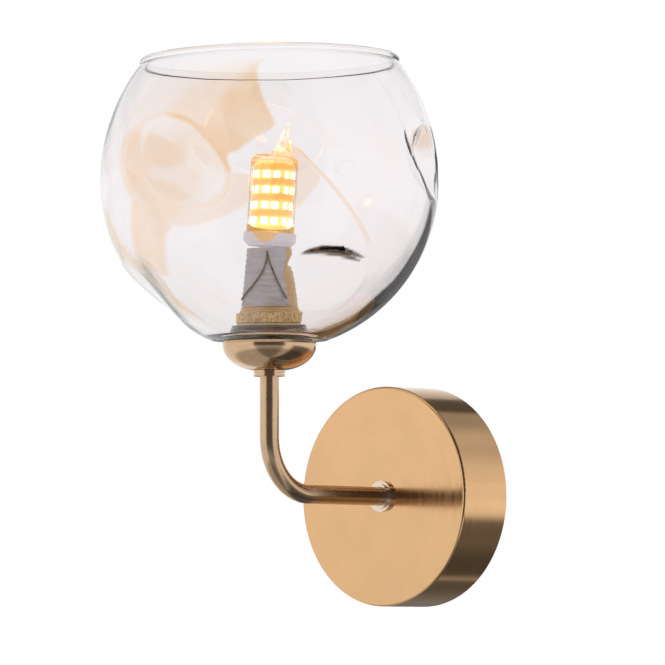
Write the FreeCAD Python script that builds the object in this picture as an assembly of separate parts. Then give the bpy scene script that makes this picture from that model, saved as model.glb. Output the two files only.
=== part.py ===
import FreeCAD, Part
import math
import os

os.makedirs("parts", exist_ok=True)

# Globe wall sconce. Sizes are in millimetres.
# The origin is the centre of the wall bracket on the wall plane. +Z is up, the wall is the plane
# y = 0, the room lies towards -Y, and +X is to the right for someone who faces the wall.
# A bearing is a horizontal direction: 0 degrees is -Y, into the room, and 90 degrees is +X.

# Fits shared by pieces that slip over or into each other
fit_gap = 0.1
running_gap = 0.3
thread_depth = 0.35
thread_pitch = 1.25
thread_groove_width = 0.875
nut_bevel_share = 0.6
screw_slot_width = 0.6
screw_slot_depth = 0.6

# Canopy, the drum on the wall
canopy_radius = 50.0
canopy_depth = 28.4
canopy_wall = 1.2
canopy_edge_round = 1.2
canopy_screw_inset = 8.0
canopy_screw_radius = 1.9
weld_nut_across = 8.0
weld_nut_height = 2.0
grub_point_chamfer = 0.5
grub_sink = 0.3
grub_socket_across = 2.0
grub_socket_depth = 1.5

# Wall bracket inside the canopy
bracket_thickness = 1.5
bracket_half_width = 12.0
bracket_tab_half_width = 8.0
bracket_tab_gap = 0.4
weld_nut_clearance = 0.7
bracket_tab_length = 13.0
wall_slot_spacing = 60.0
wall_slot_length = 12.0
wall_slot_radius = 2.6
cable_hole_radius = 4.5
grommet_wall = 2.5
grommet_flange = 1.5
grommet_flange_thickness = 1.0
earth_screw_height = 15.0
earth_screw_radius = 1.9
earth_screw_length = 7.0
earth_screw_head_radius = 3.5
earth_screw_head_height = 2.2
earth_screw_head_round = 0.66
earth_screw_slot_width = 0.8
earth_washer_radius = 4.2
earth_washer_thickness = 0.8

# Arm, a tube that leaves the canopy level and bends up
arm_reach = 103.0
arm_radius = 4.25
arm_wall = 1.25
arm_bend_radius = 25.0
arm_thread_length = 11.0
arm_rear_inset = 13.4
arm_above_nut = 1.5
ferrule_flange_radius = 7.0
ferrule_flange_thickness = 1.7
ferrule_nose_radius = 5.7
ferrule_nose_thickness = 1.3

# Clamping stack behind the canopy face
backing_plate_thickness = 1.5
backing_plate_half_width = 9.0
backing_plate_top = 13.0
backing_plate_bottom = 38.0
toothed_washer_radius = 7.4
toothed_washer_thickness = 0.7
toothed_washer_teeth = 16
toothed_washer_tooth_depth = 1.0
earth_tag_thickness = 0.8
earth_tag_radius = 6.6
earth_tag_length = 12.5
earth_tag_half_width = 2.4
tag_barrel_wall = 0.7
tag_barrel_length = 3.5
tag_barrel_drop = 0.5
tag_barrel_end = 0.5
rear_nut_across = 14.0
rear_nut_height = 4.0

# Terminal block
block_height_centre = -29.0
block_half_width = 14.0
block_half_height = 8.5
block_depth = 13.0
block_pole_spacing = 9.0
block_wire_hole_radius = 2.3
block_clamp_radius = 2.1
block_clamp_bore = 1.45
block_clamp_length = 13.0
block_screw_radius = 1.2
block_screw_head_radius = 1.7
block_screw_head_height = 1.4
block_screw_well_radius = 2.0
block_screw_offset = 4.0
block_web_depth = 3.0
block_groove_width = 1.0
block_screw_neck = 0.8
block_fixing_radius = 1.4
block_fixing_head_radius = 2.6
block_fixing_head_height = 1.6
block_fixing_cover = 0.6

# Leads inside the canopy and the arm
lead_radius = 0.9
lead_side_offset = 1.05
lead_loop_room = 8.6
lead_drop = 11.0
lead_block_entry = 5.0
lead_rise_over_block = 3.5
lead_gather_offset = 4.0
lead_spread_start = 4.5
lead_spread_end = 8.5
lead_barrel_inset = 0.8
earth_lead_inset = 2.0
earth_lead_drop = 2.4
earth_lead_rise = 1.6

# Collar and cup under the shade
collar_bottom = 52.0
collar_height = 2.6
collar_radius = 7.0
collar_groove_radius = 6.0
collar_groove_height = 0.5
cup_radius = 20.95
cup_height = 12.8
cup_lip_height = 1.1
cup_wall = 1.0
cup_floor = 1.3
cup_inner_flat_radius = 7.0
cup_lip_taper = 0.2
cup_nut_across = 12.0
cup_nut_height = 3.0

# Lampholder body: a brass sleeve with a seat, a thread for the shade ring and a ridged taper
holder_floor_thickness = 1.2
holder_stem_radius = 12.3
holder_wall = 1.1
holder_nut_height = 2.5
seat_radius = 19.4
seat_thickness = 1.2
shade_thread_radius = 13.45
shade_thread_depth = 0.6
shade_thread_pitch = 2.0
shade_thread_top = 15.0
taper_bottom_radius = 12.75
taper_top_radius = 10.1
taper_top = 41.2
taper_ridge_depth = 0.35
taper_ridge_pitch = 2.4
ridge_flank_share = 0.35
taper_foot = 0.4
taper_rim_height = 1.2
ledge_slope_height = 2.0
bridge_height = 17.2
bridge_thickness = 2.0
bridge_ledge = 0.8
bridge_side_gap = 0.25
bridge_lead_hole_radius = 2.6
core_radius = 8.4
core_top_inset = 0.4
core_slot_half_width = 1.7
core_slot_half_length = 2.9
core_slot_floor = 5.5
core_chamfer = 0.5
core_screw_end_gap = 1.0
core_screw_radius = 1.2
core_screw_length = 9.0
core_screw_head_radius = 2.2
core_screw_head_height = 1.5
core_screw_offset = 5.6
jaw_thickness = 0.4
jaw_half_gap = 0.75
jaw_half_length = 1.9
jaw_height = 10.5
jaw_barrel_radius = 1.35
jaw_barrel_height = 4.0
clip_wire_radius = 0.4
clip_clearance = 0.05
clip_spread_left = 68.0
clip_spread_right = 42.0
clip_bearing = 38.0
clip_bottom = 18.6
clip_top = 39.4
clip_stations = 7
clip_curl_left = 2.2
clip_curl_right = 1.3

# Shade: a mouth-blown glass globe with dents, an open top with a rolled rim, and a fitter hole
gasket_thickness = 0.5
gasket_outer_radius = 19.0
globe_radius = 75.5
globe_centre = 71.6
globe_upper_radius = 82.0
globe_neck_height = 123.8
globe_wall = 2.1
globe_floor = 3.0
fitter_radius = 14.3
fitter_bead_width = 2.9
fitter_bead_height = 3.3
rim_bead_radius = 1.7
rim_neck_inset = 0.9
rim_setback = 0.95
rim_points = 8
rim_first_step = 1.25
mouth_rise = 1.2
mouth_rise_bearing = 90.0
glass_hole_round = 0.1
glass_foot_round = 2.5
bead_foot_round = 0.3
bead_edge_round = 0.8
bead_flank_start = 1.2
dent_fade_floor = 0.125
dent_fade_neck = 0.07
inner_foot_width = 5.0
globe_columns = 72
globe_wall_rows = 20
globe_face_columns = 4

# Each dent is bearing and height of its middle, half length, half height above and below the middle,
# tilt and depth, and how gently it begins at its upper and its lower edge, 1 being a crease.
# Heights are above the seat, lengths run along the glass.
dents = {
    "front_bowl": (12.0, 76.5, 27.0, 15.0, 18.5, -36.0, 9.5, 1.15, 1.4),
    "front_halo": (12.0, 74.0, 42.0, 29.0, 30.0, -36.0, 3.0, 1.6, 1.6),
    "side_fold": (116.5, 80.0, 27.0, 14.5, 14.5, -28.0, 5.5, 1.15, 1.15),
    "side_hollow": (119.5, 79.5, 17.5, 17.0, 17.5, 0.0, 4.0, 1.2, 1.2),
    "low_front": (69.5, 27.0, 21.0, 10.0, 19.0, -4.0, 3.6, 1.0, 2.2),
    "low_left": (-41.0, 19.0, 36.0, 17.0, 17.0, 20.0, 4.0, 1.5, 1.8),
    "rear_upper": (226.0, 99.0, 30.0, 14.0, 18.0, 15.0, 7.5, 1.3, 1.6),
    "rear_right": (197.0, 66.0, 32.0, 25.0, 29.0, -35.0, 6.0, 1.4, 1.6),
    "rear_left": (283.0, 62.0, 26.0, 16.0, 20.0, 30.0, 5.5, 1.4, 1.6),
}

# Ring that holds the shade down
upper_gasket_thickness = 0.5
ring_washer_thickness = 0.8
ring_washer_radius = 14.6
upper_gasket_inset = 0.6
shade_ring_radius = 14.9
shade_ring_height = 4.6
shade_ring_knurls = 60
shade_ring_knurl_depth = 0.4
shade_ring_bevel = 0.15
shade_ring_groove_depth = 0.25
shade_ring_groove_width = 1.2
shade_ring_groove_start = 0.5

# Pin lamp
lamp_seat_gap = 0.9
lamp_base_radius = 11.8
lamp_base_height = 6.0
lamp_base_chamfer = 2.2
lamp_base_wall = 1.6
lamp_base_web = 1.0
lamp_lean = 3.5
lamp_lean_bearing = 115.0
pin_spacing = 9.0
pin_wire_radius = 0.375
pin_loop_width = 2.6
pin_length = 13.5
pin_embed = 3.0
cover_radius = 10.7
cover_wall = 0.9
cover_length = 33.5
cover_corner = 0.8
cover_top_wall = 1.2
cover_inner_corner = 0.6
shoulder_height = 1.8
shoulder_radius = 8.6
flame_height = 14.5
flame_radius = 5.2
flame_tip_radius = 0.9
flame_taper = 1.2
flame_offset = 2.7
flame_bend = 2.5
flame_sections = 6
board_across = 15.8
board_wall = 1.2
board_length = 34.0
board_sink = 2.0
board_turn = 5.5
board_bearing = 43.3
chip_rows = 4
chip_row_pitch = 7.0
chip_first_row = 5.2
chip_width = 4.0
chip_height = 4.0
chip_thickness = 0.7
chip_pair_pitch = 4.3
driver_half_width = 4.4
driver_height = 15.0

# Heights on the stem, from the collar up
cup_bottom = collar_bottom + collar_height
cup_floor_top = cup_bottom + cup_floor
cup_top = cup_bottom + cup_height
holder_bottom = cup_floor_top + cup_nut_height
holder_nut_bottom = holder_bottom + holder_floor_thickness
arm_top = holder_nut_bottom + holder_nut_height + arm_above_nut
seat_top = cup_top
bridge_bottom = seat_top + bridge_height
core_bottom = bridge_bottom + bridge_thickness
holder_top = seat_top + taper_top
core_top = holder_top - core_top_inset
lamp_bottom = holder_top + lamp_seat_gap
glass_bottom = seat_top + gasket_thickness
glass_floor_top = glass_bottom + globe_floor
fitter_bead_top = glass_floor_top + fitter_bead_height
ring_washer_bottom = fitter_bead_top + upper_gasket_thickness
ring_bottom = ring_washer_bottom + ring_washer_thickness
ring_bore_radius = shade_thread_radius + running_gap

# Places along the canopy's axis, from the wall into the room
canopy_face = -canopy_depth
canopy_inside = canopy_face + canopy_wall
plate_rear = canopy_inside + backing_plate_thickness
washer_rear = plate_rear + toothed_washer_thickness
tag_rear = washer_rear + earth_tag_thickness
tag_lead_y = washer_rear + lead_radius + tag_barrel_wall
arm_rear = canopy_face + arm_rear_inset
block_front = plate_rear
block_wire_y = block_front + block_depth / 2

up = FreeCAD.Vector(0, 0, 1)
to_wall = FreeCAD.Vector(0, 1, 0)
right = FreeCAD.Vector(1, 0, 0)


def point(x, y, z):
    return FreeCAD.Vector(x, y, z)


def flat_face(points):
    """A plane face from its corners."""
    return Part.Face(Part.makePolygon(points + [points[0]]))


def on_stem(shape):
    """Moves a shape that was made about the Z axis onto the upright part of the arm."""
    shape.translate(point(0, -arm_reach, 0))
    return shape


def turned(profile):
    """Revolves (radius, height) corners about the Z axis."""
    return flat_face([point(r, 0, z) for r, z in profile]).revolve(point(0, 0, 0), up, 360)


def tube(outer, inner, bottom, top):
    """An upright ring about the Z axis."""
    return turned([(inner, bottom), (outer, bottom), (outer, top), (inner, top)])


def disc_along_y(outer, inner, start, end):
    """A ring about the canopy's axis, from y = start to y = end."""
    ring = Part.makeCylinder(outer, end - start, point(0, start, 0), to_wall)
    if inner > 0:
        ring = ring.cut(Part.makeCylinder(inner, end - start, point(0, start, 0), to_wall))
    return ring


def hexagon(across, bottom, top):
    """A hexagon block about the Z axis."""
    corner = across / math.sqrt(3)
    corners = [point(corner * math.cos(math.radians(60 * k)), corner * math.sin(math.radians(60 * k)), bottom)
               for k in range(6)]
    return flat_face(corners).extrude(up * (top - bottom))


def hexagon_nut(across, bore, bottom, top):
    """A hexagon nut about the Z axis, with its top and bottom corners chamfered."""
    corner = across / math.sqrt(3)
    bevel = (corner - across / 2) * nut_bevel_share
    nut = hexagon(across, bottom, top)
    nut = nut.common(turned([(0, bottom), (corner - bevel, bottom), (corner, bottom + bevel),
                             (corner, top - bevel), (corner - bevel, top), (0, top)]))
    return nut.cut(Part.makeCylinder(bore, top - bottom, point(0, 0, bottom)))


def laid_back(shape, y):
    """Turns a shape made about the Z axis so that its height runs along +Y, starting at y."""
    shape.rotate(point(0, 0, 0), right, -90)
    shape.translate(point(0, y, 0))
    return shape


def ridges(outer, depth, bottom, top, pitch):
    """(radius, height) corners of a thread cut as rings, from bottom to top."""
    count = int((top - bottom) / pitch)
    corners = []
    for k in range(count):
        start = bottom + k * pitch
        corners += [(outer - depth, start), (outer, start + ridge_flank_share * pitch),
                    (outer, start + (1 - ridge_flank_share) * pitch)]
    return corners + [(outer - depth, bottom + count * pitch), (outer - depth, top)]


def rounded_path(points, limit=None):
    """A wire through the points, with an arc at each corner as large as its two runs allow."""
    edges = []
    start = points[0]
    for k in range(1, len(points) - 1):
        before = points[k - 1] - points[k]
        after = points[k + 1] - points[k]
        half_turn = (math.pi - before.getAngle(after)) / 2
        shorter = min(before.Length, after.Length)
        radius = 0.45 * shorter / math.tan(half_turn)
        if limit and k in limit:
            radius = limit[k]
        setback = radius * math.tan(half_turn)
        before.normalize()
        after.normalize()
        first = points[k] + before * setback
        last = points[k] + after * setback
        inward = before + after
        inward.normalize()
        middle = points[k] + inward * (radius / math.cos(half_turn) - radius)
        edges.append(Part.LineSegment(start, first).toShape())
        edges.append(Part.Arc(first, middle, last).toShape())
        start = last
    edges.append(Part.LineSegment(start, points[-1]).toShape())
    return Part.Wire(edges)


def pipe(path, radius):
    """A round rod along a wire."""
    start = path.Edges[0].Vertexes[0].Point
    direction = path.Edges[0].tangentAt(path.Edges[0].FirstParameter)
    section = Part.Wire(Part.makeCircle(radius, start, direction))
    return path.makePipeShell([section], True, False)


def bearing_direction(bearing):
    angle = math.radians(bearing)
    return point(math.sin(angle), -math.cos(angle), 0)


# Wall side

def make_wall_bracket():
    """A strap with two slots, a cable hole and a bent tab at each end."""
    tab_face = canopy_radius - canopy_wall - weld_nut_height - weld_nut_clearance
    strap = Part.makeBox(2 * bracket_half_width, bracket_thickness, 2 * tab_face,
                         point(-bracket_half_width, -bracket_thickness, -tab_face))
    for side in (-1, 1):
        low = tab_face - bracket_thickness if side > 0 else -tab_face
        strap = strap.fuse(Part.makeBox(2 * bracket_tab_half_width, bracket_tab_length, bracket_thickness,
                                        point(-bracket_tab_half_width, -bracket_tab_length, low)))
    holes = [Part.makeCylinder(cable_hole_radius + grommet_wall, bracket_thickness,
                               point(0, -bracket_thickness, 0), to_wall),
             Part.makeCylinder(earth_screw_radius + fit_gap, bracket_thickness,
                               point(0, -bracket_thickness, earth_screw_height), to_wall)]
    straight = wall_slot_length / 2 - wall_slot_radius
    for side in (-1, 1):
        middle = side * wall_slot_spacing / 2
        for end in (-1, 1):
            holes.append(Part.makeCylinder(wall_slot_radius, bracket_thickness,
                                           point(0, -bracket_thickness, middle + end * straight), to_wall))
        holes.append(Part.makeBox(2 * wall_slot_radius, bracket_thickness, 2 * straight,
                                  point(-wall_slot_radius, -bracket_thickness, middle - straight)))
    for hole in holes:
        strap = strap.cut(hole)
    return strap.removeSplitter()


def make_cable_grommet():
    """A rubber ring snapped into the cable hole, with a lip on the room side."""
    neck = cable_hole_radius + grommet_wall - fit_gap
    lip = neck + grommet_flange
    ring = turned([(cable_hole_radius, 0), (neck, 0), (neck, bracket_thickness), (lip, bracket_thickness),
                   (lip, bracket_thickness + grommet_flange_thickness),
                   (cable_hole_radius, bracket_thickness + grommet_flange_thickness)])
    ring.rotate(point(0, 0, 0), right, 90)
    return ring


def make_earth_screw():
    """A pan-head screw with a cross slot that takes the supply's earth wire on the bracket."""
    under_head = -bracket_thickness - earth_washer_thickness
    head_top = under_head - earth_screw_head_height
    shank = disc_along_y(earth_screw_radius, 0, under_head, under_head + earth_screw_length)
    shank = shank.common(disc_along_y(earth_screw_radius, 0, under_head, -fit_gap))
    head = disc_along_y(earth_screw_head_radius, 0, head_top, under_head)
    screw = head.makeFillet(earth_screw_head_round, [head.Edges[0]]).fuse(shank)
    for turn in (0, 90):
        slot = Part.makeBox(earth_screw_head_radius, earth_screw_head_height / 2, earth_screw_slot_width,
                            point(-earth_screw_head_radius / 2, head_top, -earth_screw_slot_width / 2))
        slot.rotate(point(0, 0, 0), to_wall, turn)
        screw = screw.cut(slot)
    screw.translate(point(0, 0, earth_screw_height))
    return screw


def make_earth_washer():
    washer = disc_along_y(earth_washer_radius, earth_screw_radius + fit_gap,
                          -bracket_thickness - earth_washer_thickness, -bracket_thickness)
    washer.translate(point(0, 0, earth_screw_height))
    return washer


# Canopy

def make_canopy():
    """A drum open to the wall, with a rounded front edge, an arm hole and two screw holes."""
    outer = Part.makeCylinder(canopy_radius, canopy_depth, point(0, canopy_face, 0), to_wall)
    front_edges = [edge for edge in outer.Edges if abs(edge.CenterOfMass.y - canopy_face) < 0.01]
    outer = outer.makeFillet(canopy_edge_round, front_edges)
    drum = outer.cut(Part.makeCylinder(canopy_radius - canopy_wall, canopy_depth - canopy_wall,
                                       point(0, canopy_inside, 0), to_wall))
    drum = drum.cut(disc_along_y(arm_radius + fit_gap, 0, canopy_face, canopy_inside))
    hole = Part.makeCylinder(canopy_screw_radius + fit_gap, 2 * canopy_radius,
                             point(0, -canopy_screw_inset, -canopy_radius), up)
    return drum.cut(hole)


def make_weld_nuts():
    """Two square nuts welded inside the canopy's wall for the grub screws."""
    inner = canopy_radius - canopy_wall
    nuts = []
    for side in (-1, 1):
        half = weld_nut_across / 2
        low = inner - weld_nut_height if side > 0 else -inner
        nut = Part.makeBox(weld_nut_across, weld_nut_across, weld_nut_height,
                           point(-half, -canopy_screw_inset - half, low))
        nut = nut.common(Part.makeCylinder(inner, canopy_depth, point(0, canopy_face, 0), to_wall))
        nut = nut.cut(Part.makeCylinder(canopy_screw_radius + fit_gap, weld_nut_height,
                                        point(0, -canopy_screw_inset, low), up))
        nuts.append(nut)
    return Part.makeCompound(nuts)


def make_canopy_screws():
    """Two grub screws that run in from the canopy's side and stop just clear of the bracket's tabs."""
    tab_face = canopy_radius - canopy_wall - weld_nut_height - weld_nut_clearance
    tip = tab_face + bracket_tab_gap
    outer_end = canopy_radius - grub_sink
    screws = []
    for side in (-1, 1):
        screw = turned([(0, tip), (canopy_screw_radius - grub_point_chamfer, tip),
                        (canopy_screw_radius, tip + grub_point_chamfer), (canopy_screw_radius, outer_end),
                        (0, outer_end)])
        screw = screw.cut(hexagon(grub_socket_across, outer_end - grub_socket_depth, outer_end))
        if side < 0:
            screw.rotate(point(0, 0, 0), right, 180)
        screw.translate(point(0, -canopy_screw_inset, 0))
        screws.append(screw)
    return Part.makeCompound(screws)


def make_ferrule():
    """The stepped collar that covers the arm's hole in the canopy."""
    bore = arm_radius + fit_gap
    flange = disc_along_y(ferrule_flange_radius, bore, canopy_face - ferrule_flange_thickness, canopy_face)
    nose_end = canopy_face - ferrule_flange_thickness - ferrule_nose_thickness
    nose = disc_along_y(ferrule_nose_radius, bore, nose_end, canopy_face - ferrule_flange_thickness)
    return flange.fuse(nose).removeSplitter()


# Arm and what clamps it

def make_arm_tube():
    """A tube bent through a quarter turn, with thread rings cut at both ends."""
    path = rounded_path([point(0, arm_rear, 0), point(0, -arm_reach, 0), point(0, -arm_reach, arm_top)],
                        {1: arm_bend_radius})
    arm = pipe(path, arm_radius).cut(pipe(path, arm_radius - arm_wall))
    groove = turned([(arm_radius + 1, 0), (arm_radius + 1, thread_groove_width),
                     (arm_radius - thread_depth, thread_groove_width / 2)])
    grooves = []
    for k in range(int(arm_thread_length / thread_pitch)):
        rear = groove.copy()
        rear.rotate(point(0, 0, 0), right, 90)
        rear.translate(point(0, arm_rear - k * thread_pitch, 0))
        grooves.append(rear)
        groove_bottom = arm_top - thread_pitch * k - thread_groove_width
        if groove_bottom > holder_bottom:
            top = groove.copy()
            top.translate(point(0, -arm_reach, groove_bottom))
            grooves.append(top)
    return arm.cut(Part.makeCompound(grooves))


def make_backing_plate():
    """A steel strip behind the canopy's face. The arm clamps it, and it carries the terminal block."""
    plate = Part.makeBox(2 * backing_plate_half_width, backing_plate_thickness,
                         backing_plate_top + backing_plate_bottom,
                         point(-backing_plate_half_width, canopy_inside, -backing_plate_bottom))
    plate = plate.cut(disc_along_y(arm_radius + fit_gap, 0, canopy_inside, plate_rear))
    hole = disc_along_y(block_fixing_radius + fit_gap, 0, canopy_inside, plate_rear)
    hole.translate(point(0, 0, block_height_centre))
    return plate.cut(hole)


def make_toothed_washer():
    corners = []
    for k in range(2 * toothed_washer_teeth):
        radius = toothed_washer_radius if k % 2 == 0 else toothed_washer_radius - toothed_washer_tooth_depth
        angle = math.pi * k / toothed_washer_teeth
        corners.append(point(radius * math.cos(angle), plate_rear, radius * math.sin(angle)))
    washer = flat_face(corners).extrude(to_wall * toothed_washer_thickness)
    return washer.cut(disc_along_y(arm_radius + fit_gap, 0, plate_rear, washer_rear))


def make_earth_tag():
    """A ring tag under the arm's nut, with a barrel below it for the earth lead."""
    tag = disc_along_y(earth_tag_radius, 0, washer_rear, tag_rear)
    tag = tag.fuse(Part.makeBox(2 * earth_tag_half_width, earth_tag_thickness, earth_tag_length,
                                point(-earth_tag_half_width, washer_rear, -earth_tag_length)))
    barrel_place = point(0, tag_lead_y, -earth_tag_length - tag_barrel_drop)
    barrel = Part.makeCylinder(lead_radius + tag_barrel_wall, tag_barrel_length, barrel_place, up)
    tag = tag.fuse(barrel).cut(disc_along_y(arm_radius + fit_gap, 0, washer_rear, tag_rear))
    bore = Part.makeCylinder(lead_radius + fit_gap, tag_barrel_length - tag_barrel_end, barrel_place, up)
    return tag.cut(bore).removeSplitter()


def make_rear_nut():
    return laid_back(hexagon_nut(rear_nut_across, arm_radius + fit_gap, 0, rear_nut_height), tag_rear)


# Terminal block and leads

def pole_places():
    return [k * block_pole_spacing for k in (-1, 0, 1)]


def make_terminal_block():
    """A three-pole block: three humps on a web, each with a wire tunnel and two screw wells."""
    low = block_height_centre - block_half_height
    block = Part.makeBox(2 * block_half_width, block_web_depth, 2 * block_half_height,
                         point(-block_half_width, block_front, low))
    hump_half = (block_pole_spacing - block_groove_width) / 2
    for x in pole_places():
        block = block.fuse(Part.makeBox(2 * hump_half, block_depth, 2 * block_half_height,
                                        point(x - hump_half, block_front, low)))
    cuts = []
    for x in pole_places():
        cuts.append(Part.makeCylinder(block_wire_hole_radius, 2 * block_half_height,
                                      point(x, block_wire_y, low), up))
        for side in (-1, 1):
            height = block_height_centre + side * block_screw_offset
            cuts.append(Part.makeCylinder(block_screw_well_radius, block_depth / 2,
                                          point(x, block_wire_y, height), to_wall))
    fixing_top = block_wire_y - block_wire_hole_radius - block_fixing_cover
    cuts.append(Part.makeCylinder(block_fixing_radius + fit_gap, block_depth,
                                  point(0, block_front, block_height_centre), to_wall))
    cuts.append(Part.makeCylinder(block_fixing_head_radius + fit_gap, block_depth,
                                  point(0, fixing_top - block_fixing_head_height, block_height_centre), to_wall))
    for tool in cuts:
        block = block.cut(tool)
    return block.removeSplitter()


def make_terminal_clamps():
    """Three brass tubes with a threaded hole above each wire end."""
    clamps = []
    low = block_height_centre - block_clamp_length / 2
    for x in pole_places():
        clamp = Part.makeCylinder(block_clamp_radius, block_clamp_length, point(x, block_wire_y, low), up)
        clamp = clamp.cut(Part.makeCylinder(block_clamp_bore, block_clamp_length,
                                            point(x, block_wire_y, low), up))
        for side in (-1, 1):
            height = block_height_centre + side * block_screw_offset
            clamp = clamp.cut(Part.makeCylinder(block_screw_radius + fit_gap, block_depth / 2,
                                                point(x, block_wire_y, height), to_wall))
        clamps.append(clamp)
    return Part.makeCompound(clamps)


def make_terminal_screws():
    """Six slotted screws, each pressing on a wire end."""
    screws = []
    tip = block_wire_y + lead_radius + fit_gap
    under_head = block_wire_y + block_clamp_radius + block_screw_neck
    for x in pole_places():
        for side in (-1, 1):
            height = block_height_centre + side * block_screw_offset
            shank = Part.makeCylinder(block_screw_radius, under_head - tip, point(x, tip, height), to_wall)
            head = Part.makeCylinder(block_screw_head_radius, block_screw_head_height,
                                     point(x, under_head, height), to_wall)
            slot = Part.makeBox(2 * block_screw_head_radius, screw_slot_depth, screw_slot_width,
                                point(x - block_screw_head_radius,
                                      under_head + block_screw_head_height - screw_slot_depth,
                                      height - screw_slot_width / 2))
            screws.append(shank.fuse(head).cut(slot))
    return Part.makeCompound(screws)


def make_block_fixing_screw():
    """The screw that holds the terminal block on its plate, sunk under the middle pole's tunnel."""
    head_rear = block_wire_y - block_wire_hole_radius - block_fixing_cover
    under_head = head_rear - block_fixing_head_height
    shank = disc_along_y(block_fixing_radius, 0, canopy_inside, under_head)
    head = disc_along_y(block_fixing_head_radius, 0, under_head, head_rear)
    screw = shank.fuse(head)
    screw.translate(point(0, 0, block_height_centre))
    return screw


def make_supply_lead(side):
    """A lead from the terminal block through the arm to the lampholder's contact on one side."""
    pole = side * block_pole_spacing
    x = side * lead_side_offset
    block_top = block_height_centre + block_half_height
    loop_y = arm_rear + lead_loop_room
    jaw_x = side * pin_spacing / 2
    jaw_bottom = core_bottom + core_slot_floor - jaw_barrel_height
    points = [
        point(pole, block_wire_y, block_top - lead_block_entry - block_clamp_length / 2),
        point(pole, block_wire_y, block_top + lead_rise_over_block),
        point(side * lead_gather_offset, loop_y, -lead_drop),
        point(x, loop_y, 0),
        point(x, -arm_reach, 0),
        point(x, -arm_reach, arm_top + lead_spread_start),
        point(jaw_x, -arm_reach, core_bottom - lead_spread_end),
        point(jaw_x, -arm_reach, jaw_bottom + jaw_barrel_height - lead_barrel_inset),
    ]
    return pipe(rounded_path(points, {4: arm_bend_radius}), lead_radius)


def make_earth_lead():
    """The short lead from the ring tag to the middle pole."""
    block_top = block_height_centre + block_half_height
    points = [
        point(0, tag_lead_y, -earth_tag_length + earth_lead_inset),
        point(0, tag_lead_y, -earth_tag_length - earth_lead_drop),
        point(0, block_wire_y, block_top + earth_lead_rise),
        point(0, block_wire_y, block_top - lead_block_entry - block_clamp_length / 2),
    ]
    return pipe(rounded_path(points), lead_radius)


# Collar, cup and the nuts in it

def make_arm_collar():
    """A turned collar with a groove round its middle, fixed on the arm under the cup."""
    middle = collar_bottom + collar_height / 2
    half = collar_groove_height / 2
    bore = arm_radius + fit_gap
    return on_stem(turned([
        (bore, collar_bottom), (collar_radius, collar_bottom), (collar_radius, middle - half),
        (collar_groove_radius, middle - half), (collar_groove_radius, middle + half),
        (collar_radius, middle + half), (collar_radius, cup_bottom), (bore, cup_bottom)]))


def quarter_ellipse(flat, radius, bottom, top):
    """The arc that rises from (flat, bottom) to (radius, top), level at its start and upright at its end."""
    wide = radius - flat
    tall = top - bottom
    centre = point(flat, 0, top)
    if wide >= tall:
        ellipse = Part.Ellipse(point(flat + wide, 0, top), point(flat, 0, bottom), centre)
    else:
        ellipse = Part.Ellipse(point(flat, 0, bottom), point(flat + wide, 0, top), centre)
    start = ellipse.parameter(point(flat, 0, bottom))
    end = ellipse.parameter(point(radius, 0, top))
    if end < start:
        start, end = (start, end + 2 * math.pi) if start - end > math.pi else (end, start)
    if end - start > math.pi:
        start, end = end, start + 2 * math.pi
    return ellipse.toShape(start, end)


def make_shade_cup():
    """A shallow spun bowl with a flat floor, open at the top."""
    arc_top = cup_top - cup_lip_height
    bore = arm_radius + fit_gap
    inner_radius = cup_radius - cup_wall
    outer_arc = quarter_ellipse(bore + cup_lip_taper, cup_radius, cup_bottom, arc_top)
    inner_arc = quarter_ellipse(cup_inner_flat_radius, inner_radius, cup_floor_top, arc_top)
    lines = [
        Part.makeLine(point(bore, 0, cup_bottom), point(bore + cup_lip_taper, 0, cup_bottom)),
        Part.makeLine(point(cup_radius, 0, arc_top), point(cup_radius - cup_lip_taper, 0, cup_top)),
        Part.makeLine(point(cup_radius - cup_lip_taper, 0, cup_top), point(inner_radius, 0, cup_top)),
        Part.makeLine(point(inner_radius, 0, cup_top), point(inner_radius, 0, arc_top)),
        Part.makeLine(point(cup_inner_flat_radius, 0, cup_floor_top), point(bore, 0, cup_floor_top)),
        Part.makeLine(point(bore, 0, cup_floor_top), point(bore, 0, cup_bottom)),
    ]
    outline = Part.Wire(Part.sortEdges([outer_arc, inner_arc] + lines)[0])
    return on_stem(Part.Face(outline).revolve(point(0, 0, 0), up, 360))


def make_cup_nut():
    return on_stem(hexagon_nut(cup_nut_across, arm_radius + fit_gap, cup_floor_top, holder_bottom))


def make_holder_nut():
    return on_stem(hexagon_nut(cup_nut_across, arm_radius + fit_gap, holder_nut_bottom,
                               holder_nut_bottom + holder_nut_height))


# Lampholder

def taper_radius(height):
    """The lampholder's outer radius on its ridged taper, at a height above the seat."""
    share = (height - shade_thread_top) / (taper_top - shade_thread_top)
    return taper_bottom_radius + (taper_top_radius - taper_bottom_radius) * max(0, min(1, share))


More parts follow.
